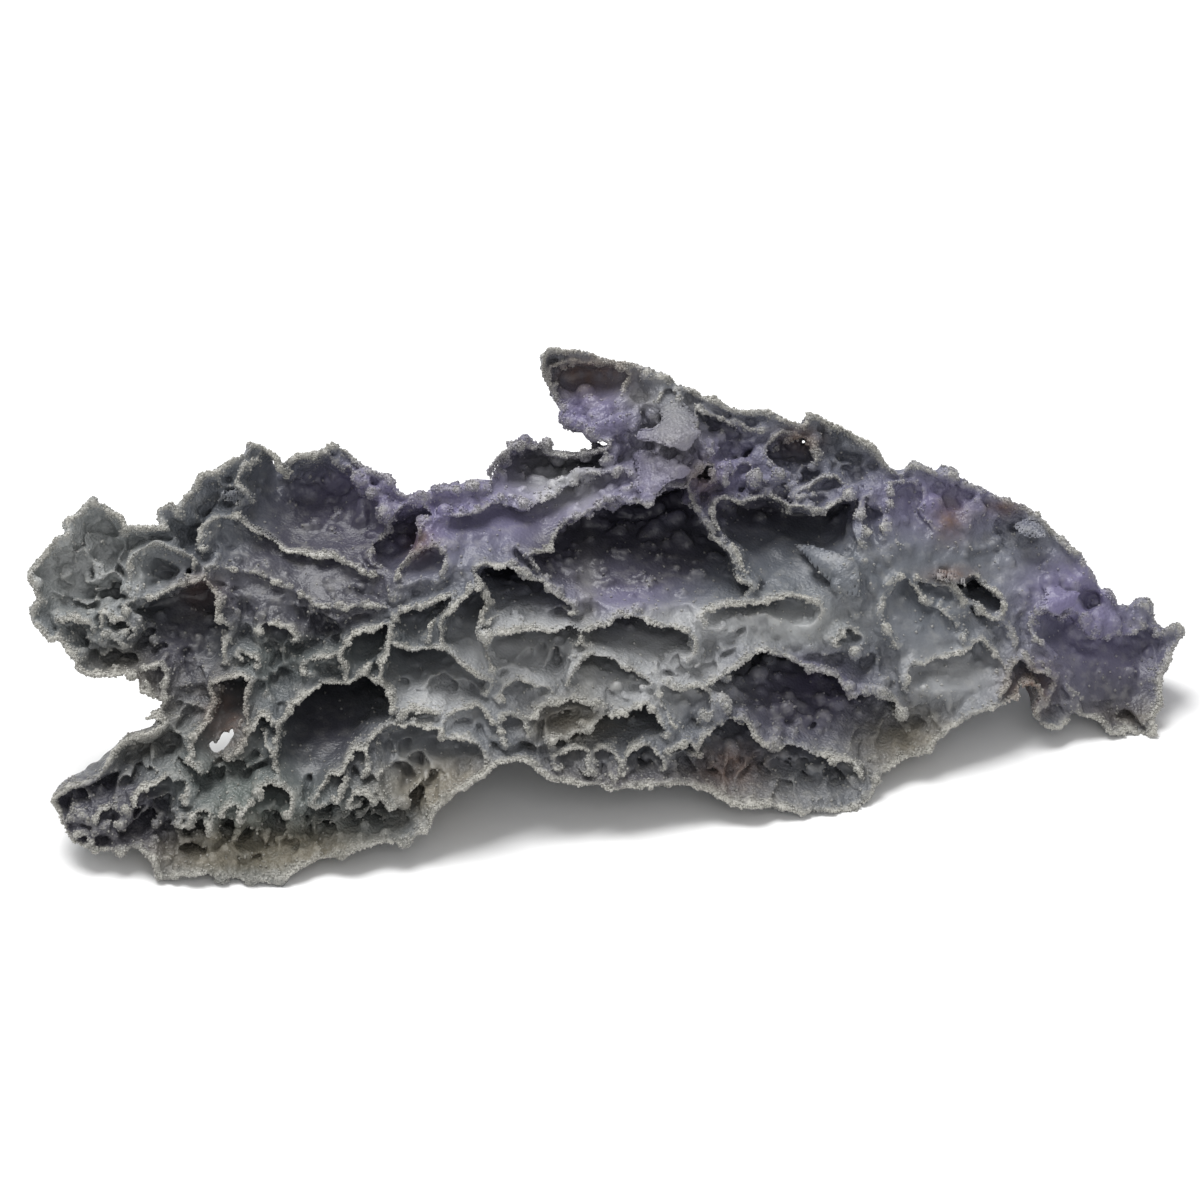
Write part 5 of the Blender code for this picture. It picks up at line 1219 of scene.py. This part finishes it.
# %% Marks that follow the shape
LIP_WIDTH = 1.7                       # how far from a rim its lip reaches, millimetres
LIP_DEPTH = 6                         # depth down to which there are lips, millimetres
leafy = np.zeros(len(gx), np.float32)
for root, tip, rim in FLAPS.values():
    inside = np.clip(1 - polygon_distance(gx, gy, outline_mm(rim)), 0, 1)
    leafy = np.maximum(leafy, inside * (gd < max(root[2], tip[2]) + 2))
on_lip = np.clip(LIP_WIDTH - read_map(lip, gx, gy), 0, 1) * np.clip((LIP_DEPTH - gd) / 2, 0, 1)
marks["thin"] = np.clip((0.42 - close_stone) * 6, 0, 1) * (0.2 + 0.8 * on_lip) * (1 - 0.8 * leafy)
pouch_share = read_map(in_pouch, gx, gy)
smooth_share = soft_spots(shown_column, shown_row, SMOOTH_SLOPES) * in_front
# Deep drives the painted shade in the depths of the pouches.
marks["deep"] = np.clip((gd - 7) / 11, 0, 1) * pouch_share
marks["rough"] = 1 - 0.75 * np.maximum(pouch_share * np.clip(gd - 1, 0, 1), smooth_share)
# Sunk drives the painted shade where stone lies all round.
marks["sunk"] = np.clip((wide_stone - 0.45) * 2.5, -1, 1)
print("on a lip:", int((on_lip > 0.5).sum()), "of", len(gx), "vertices")

# %% [markdown]
# ## Pieces
# The surface is cut into pieces only to keep each mesh small. The normals are worked out on the whole
# surface first, so no seam shows between the pieces.

# %% Meshes from arrays
def new_mesh(name, points, faces):
    """A mesh of points in millimetres and of faces that all have the same number of corners."""
    mesh = bpy.data.meshes.new(name)
    mesh.vertices.add(len(points))
    mesh.vertices.foreach_set("co", (points / 1000).ravel())
    mesh.loops.add(faces.size)
    mesh.loops.foreach_set("vertex_index", faces.ravel())
    mesh.polygons.add(len(faces))
    mesh.polygons.foreach_set("loop_start", np.arange(len(faces)) * faces.shape[1])
    mesh.update()
    return mesh


def hand_over(mesh, own_marks):
    """The mesh as a piece of the specimen, with its marks, in the place of the frame's solid."""
    for mark, values in own_marks.items():
        mesh.attributes.new(mark, "FLOAT", "POINT").data.foreach_set("value", values)
    piece = bpy.data.objects.new(mesh.name, mesh)
    bpy.context.scene.collection.objects.link(piece)
    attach(piece, "root")
    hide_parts("grape_agate")
    return piece


# %% Pieces
PIECE_TRIANGLES = 190000              # most that a piece may have
room = np.clip(room, cad_low, cad_high)


def mesh_piece(name, chosen):
    """A mesh of the chosen quads, with their vertices' marks and the whole surface's normals."""
    used, renumbered = np.unique(quads[chosen], return_inverse=True)
    mesh = new_mesh(name, room[used], renumbered.reshape(-1, 4))
    mesh.polygons.foreach_set("use_smooth", np.ones(len(chosen), bool))
    mesh.normals_split_custom_set_from_vertices(normals[used])
    return hand_over(mesh, {mark: values[used].astype(np.float32) for mark, values in marks.items()})


order = np.argsort(gx[quads[:, 0]])
piece_count = math.ceil(len(quads) * 2 / PIECE_TRIANGLES)
pieces = [mesh_piece("crust_" + str(number + 1), np.sort(chosen))
          for number, chosen in enumerate(np.array_split(order, piece_count))]
print("pieces:", piece_count, "triangles each:", len(quads) * 2 // piece_count)

# %% [markdown]
# ## Sugar on the lips
# The lips are set with tiny crystals like sugar. Each is a six-sided double pyramid of 12 triangles,
# turned at random and half sunk in the surface. Thin places get most of them. A particle system would
# scatter them as well, but what it scatters isn't mesh and would be lost when the part is exported.

# %% Grains
GRAIN_COUNT = 32000
GRAIN_PIECES = 2
GRAIN_PALENESS = 0.55                 # grains are at least this much like a lip in colour
GRAIN_SIZES = (0.16, 0.44)            # millimetres
GRAIN_GIRTH, GRAIN_TIP = 0.8, 1.1     # radius and half height of a grain of size 1
GRAIN_LIFT = 0.1                      # how far its middle stands off the surface, in sizes
GRAIN_CORNERS = 8
GRAIN_SEED = 7


def sprinkle(name, chosen, seed):
    """One mesh of double pyramids at the chosen vertices: a ring of 6 and two tips, each turned."""
    pick = np.random.default_rng(seed)
    count = len(chosen)
    angle = np.arange(6) * math.pi / 3
    ring = np.stack([np.cos(angle), np.sin(angle), angle * 0], axis=1) * GRAIN_GIRTH
    unit = np.vstack([ring, [(0, 0, GRAIN_TIP), (0, 0, -GRAIN_TIP)]])
    q = pick.normal(size=(count, 4))
    w, x, y, z = (q / np.linalg.norm(q, axis=1, keepdims=True)).T
    turn = np.stack([1 - 2 * (y * y + z * z), 2 * (x * y - w * z), 2 * (x * z + w * y),
                     2 * (x * y + w * z), 1 - 2 * (x * x + z * z), 2 * (y * z - w * x),
                     2 * (x * z - w * y), 2 * (y * z + w * x), 1 - 2 * (x * x + y * y)], axis=1)
    turn = turn.reshape(-1, 3, 3)
    size = GRAIN_SIZES[0] + (GRAIN_SIZES[1] - GRAIN_SIZES[0]) * pick.uniform(size=count) ** 2
    middle = room[chosen] + normals[chosen] * size[:, None] * GRAIN_LIFT
    points = middle[:, None, :] + np.einsum("nij,kj->nki", turn, unit) * size[:, None, None]
    points = np.clip(points, cad_low, cad_high).reshape(-1, 3)
    faces = [(k, (k + 1) % 6, 6) for k in range(6)] + [((k + 1) % 6, k, 7) for k in range(6)]
    faces = (np.arange(count)[:, None, None] * GRAIN_CORNERS + np.array(faces)).reshape(-1, 3)
    own_marks = {mark: np.repeat(values[chosen].astype(np.float32), GRAIN_CORNERS)
                 for mark, values in marks.items()}
    own_marks["thin"] = np.maximum(own_marks["thin"], GRAIN_PALENESS)
    return hand_over(new_mesh(name, points, faces), own_marks)


# %% Where the grains sit
# A chance for each vertex: most on the lips, a few all over, fewer deep in the pouches and on leaves.
lip_share = np.clip((0.44 - close_stone) * 6, 0, 1) * (0.06 + on_lip) * kept + 0.015 * kept
lip_share = lip_share * np.clip(1.2 - gd / 25, 0.15, 1) * (1 - 0.9 * leafy)
chance = lip_share / lip_share.sum()
picked = np.random.default_rng(GRAIN_SEED).choice(len(room), GRAIN_COUNT, replace=False, p=chance)
grains = [sprinkle("grains_" + str(number + 1), chosen, number)
          for number, chosen in enumerate(np.array_split(np.sort(picked), GRAIN_PIECES))]
print("grains:", GRAIN_COUNT)

# %% [markdown]
# ## The stone's look
# Chalcedony is waxy and a little clear. Its colour here is a cool grey violet, with beige, rust and
# green-grey places. The thin lips are painted paler, for their sugary crust and for the light that passes
# through them, and the depths of the pouches are painted much darker, as shade. A material is a tree of
# nodes. So that it can be read as sums, a small class wraps a socket and adds a node for each plus, minus
# and times.

# %% Sums in a material
class Maths:
    """A number or a vector inside a material: + - and * add the matching nodes."""

    def __init__(self, tree, socket):
        self.tree, self.socket = tree, socket

    def combine(self, operation, first, second):
        node = self.tree.nodes.new("ShaderNodeMath")
        node.operation = operation
        for slot, value in zip(node.inputs, (first, second)):
            if isinstance(value, Maths):
                self.tree.links.new(value.socket, slot)
            else:
                slot.default_value = value
        return Maths(self.tree, node.outputs[0])

    def __add__(self, other):
        return self.combine("ADD", self, other)

    def __radd__(self, other):
        return self.combine("ADD", other, self)

    def __sub__(self, other):
        return self.combine("SUBTRACT", self, other)

    def __rsub__(self, other):
        return self.combine("SUBTRACT", other, self)

    def __mul__(self, other):
        return self.combine("MULTIPLY", self, other)

    def __rmul__(self, other):
        return self.combine("MULTIPLY", other, self)

    def clip(self):
        """Not below 0 and not above 1."""
        return self.combine("MAXIMUM", self.combine("MINIMUM", self, 1.0), 0.0)


# %% Materials
class Material:
    """A Principled material whose every other node is made by one method."""

    def __init__(self, name):
        self.material = bpy.data.materials.new(name)
        self.material.use_nodes = True
        self.tree = self.material.node_tree

    def finish(self, **sockets):
        """Puts values and links on the shader's own sockets."""
        for key, value in sockets.items():
            self.put(self.tree.nodes["Principled BSDF"].inputs[key.replace("_", " ")], value)

    def node(self, kind, settings, output, sockets):
        """One node: its type, its settings, which output is wanted, and its sockets by name or number."""
        node = self.tree.nodes.new(kind)
        for key, value in settings.items():
            setattr(node, key, value)
        for key, value in sockets.items():
            self.put(node.inputs[key], value)
        return Maths(self.tree, node.outputs[output])

    def put(self, slot, value):
        if isinstance(value, Maths):
            self.tree.links.new(value.socket, slot)
        else:
            slot.default_value = value

    def place(self):
        """Where on the object a point lies."""
        return self.node("ShaderNodeTexCoord", {}, "Object", {})

    def mark(self, name):
        return self.node("ShaderNodeAttribute", {"attribute_name": name}, "Fac", {})

    def noise(self, scale, detail=3.0):
        """Clouds, 1 / scale metres wide, with finer ones on them."""
        return self.node("ShaderNodeTexNoise", {}, 0, {
            "Vector": self.place(), "Scale": scale, "Detail": detail, "Roughness": 0.55})

    def mix(self, amount, first, second):
        """Colours first and second, mixed by amount. The mixer's colours are its sockets 6 and 7."""
        first, second = (value if isinstance(value, Maths) else (*value, 1.0) for value in (first, second))
        return self.node("ShaderNodeMix", {"data_type": "RGBA"}, 2, {0: amount, 6: first, 7: second})


# %% [markdown]
# The colour is built up in layers, like washes of paint: each has how much of it lies on a place, and its
# colour. Noise at two widths, clouds of two centimetres and spots of two millimetres, keeps them from
# being flat. The painted shade of stone all round and of the depths of the pouches comes last, since it
# dims whatever lies there.

# %% Colour of the chalcedony
agate = Material("chalcedony")
cloud, fine = agate.noise(45.0, 4.0), agate.noise(420.0, 3.0)
mark = {name: agate.mark(name) for name in marks}
LAYERS = {                            # how much, and the colour
    "green-grey": (mark["green"] * 0.8, (0.12, 0.14, 0.125)),
    "violet": (mark["violet"] * (0.5 + cloud * 0.9), (0.15, 0.135, 0.23)),
    "cream": (mark["cream"] * (0.3 + fine * 0.8), (0.2, 0.172, 0.118)),
    # painted shade, with some darker stone at the right end
    "shade_and_dark_tone": (mark["shade_and_dark_tone"] * 0.85, (0.05, 0.047, 0.062)),
    "pale floors": (mark["pale"] * (0.3 + cloud * 0.8), (0.4, 0.405, 0.41)),
    # pale sugary crust, and painted light that passes through the thin lips
    "sugary lips and light through them": (mark["thin"] * (0.9 - 0.4 * mark["violet"]) + (fine - 0.5) * 0.8, (0.42, 0.41, 0.375)),
    "rust": (mark["rust"] * (fine * 1.4 - 0.05), (0.12, 0.07, 0.052)),
    "white": (mark["white"] * 0.5, (0.25, 0.245, 0.225)),
    "shade of stone all round": (mark["sunk"] * 0.3, (0.05, 0.053, 0.07)),
    "shade of the pouches": (mark["deep"] * 0.7, (0.02, 0.02, 0.027)),
}
colour = agate.mix(((cloud - 0.5) * 2.4 + 0.5).clip(), (0.095, 0.105, 0.12), (0.16, 0.17, 0.19))
for amount, wash in LAYERS.values():
    colour = agate.mix(amount.clip(), colour, wash)
print("layers of colour:", len(LAYERS))

# %% [markdown]
# The finest crust is too small for the mesh, so it is a bump: noise at three widths and round crystals
# under a millimetre wide, left off where the stone is smooth. A little light passes under the surface.

# %% Finish of the chalcedony
crystals = agate.node("ShaderNodeTexVoronoi", {}, "Distance", {"Vector": agate.place(), "Scale": 1500.0})
relief = agate.noise(2400.0, 2.0) * 0.5 + fine + agate.noise(900.0, 4.0) * 1.6 - crystals * 0.9
bump = agate.node("ShaderNodeBump", {}, "Normal", {
    "Strength": 0.55, "Distance": 0.0005, "Height": relief * mark["rough"]})
agate.finish(Base_Color=colour, Roughness=0.2 + fine * 0.3, Normal=bump, Subsurface_Weight=0.12,
             Subsurface_Radius=(1.0, 0.9, 1.0), Subsurface_Scale=0.0015, IOR=1.54, Specular_IOR_Level=0.3)
for piece in pieces + grains:
    piece.data.materials.append(agate.material)
print("pieces in chalcedony:", len(pieces) + len(grains))

# %% [markdown]
# The sheet under the stone is nearly white, and only as uneven as paper is.

# %% Look of the floor
paper = Material("paper")
sheet = paper.mix(paper.noise(300.0), (0.9, 0.9, 0.9), (0.94, 0.94, 0.94))
paper.finish(Base_Color=sheet, Roughness=0.8)
floor.data.materials.append(paper.material)
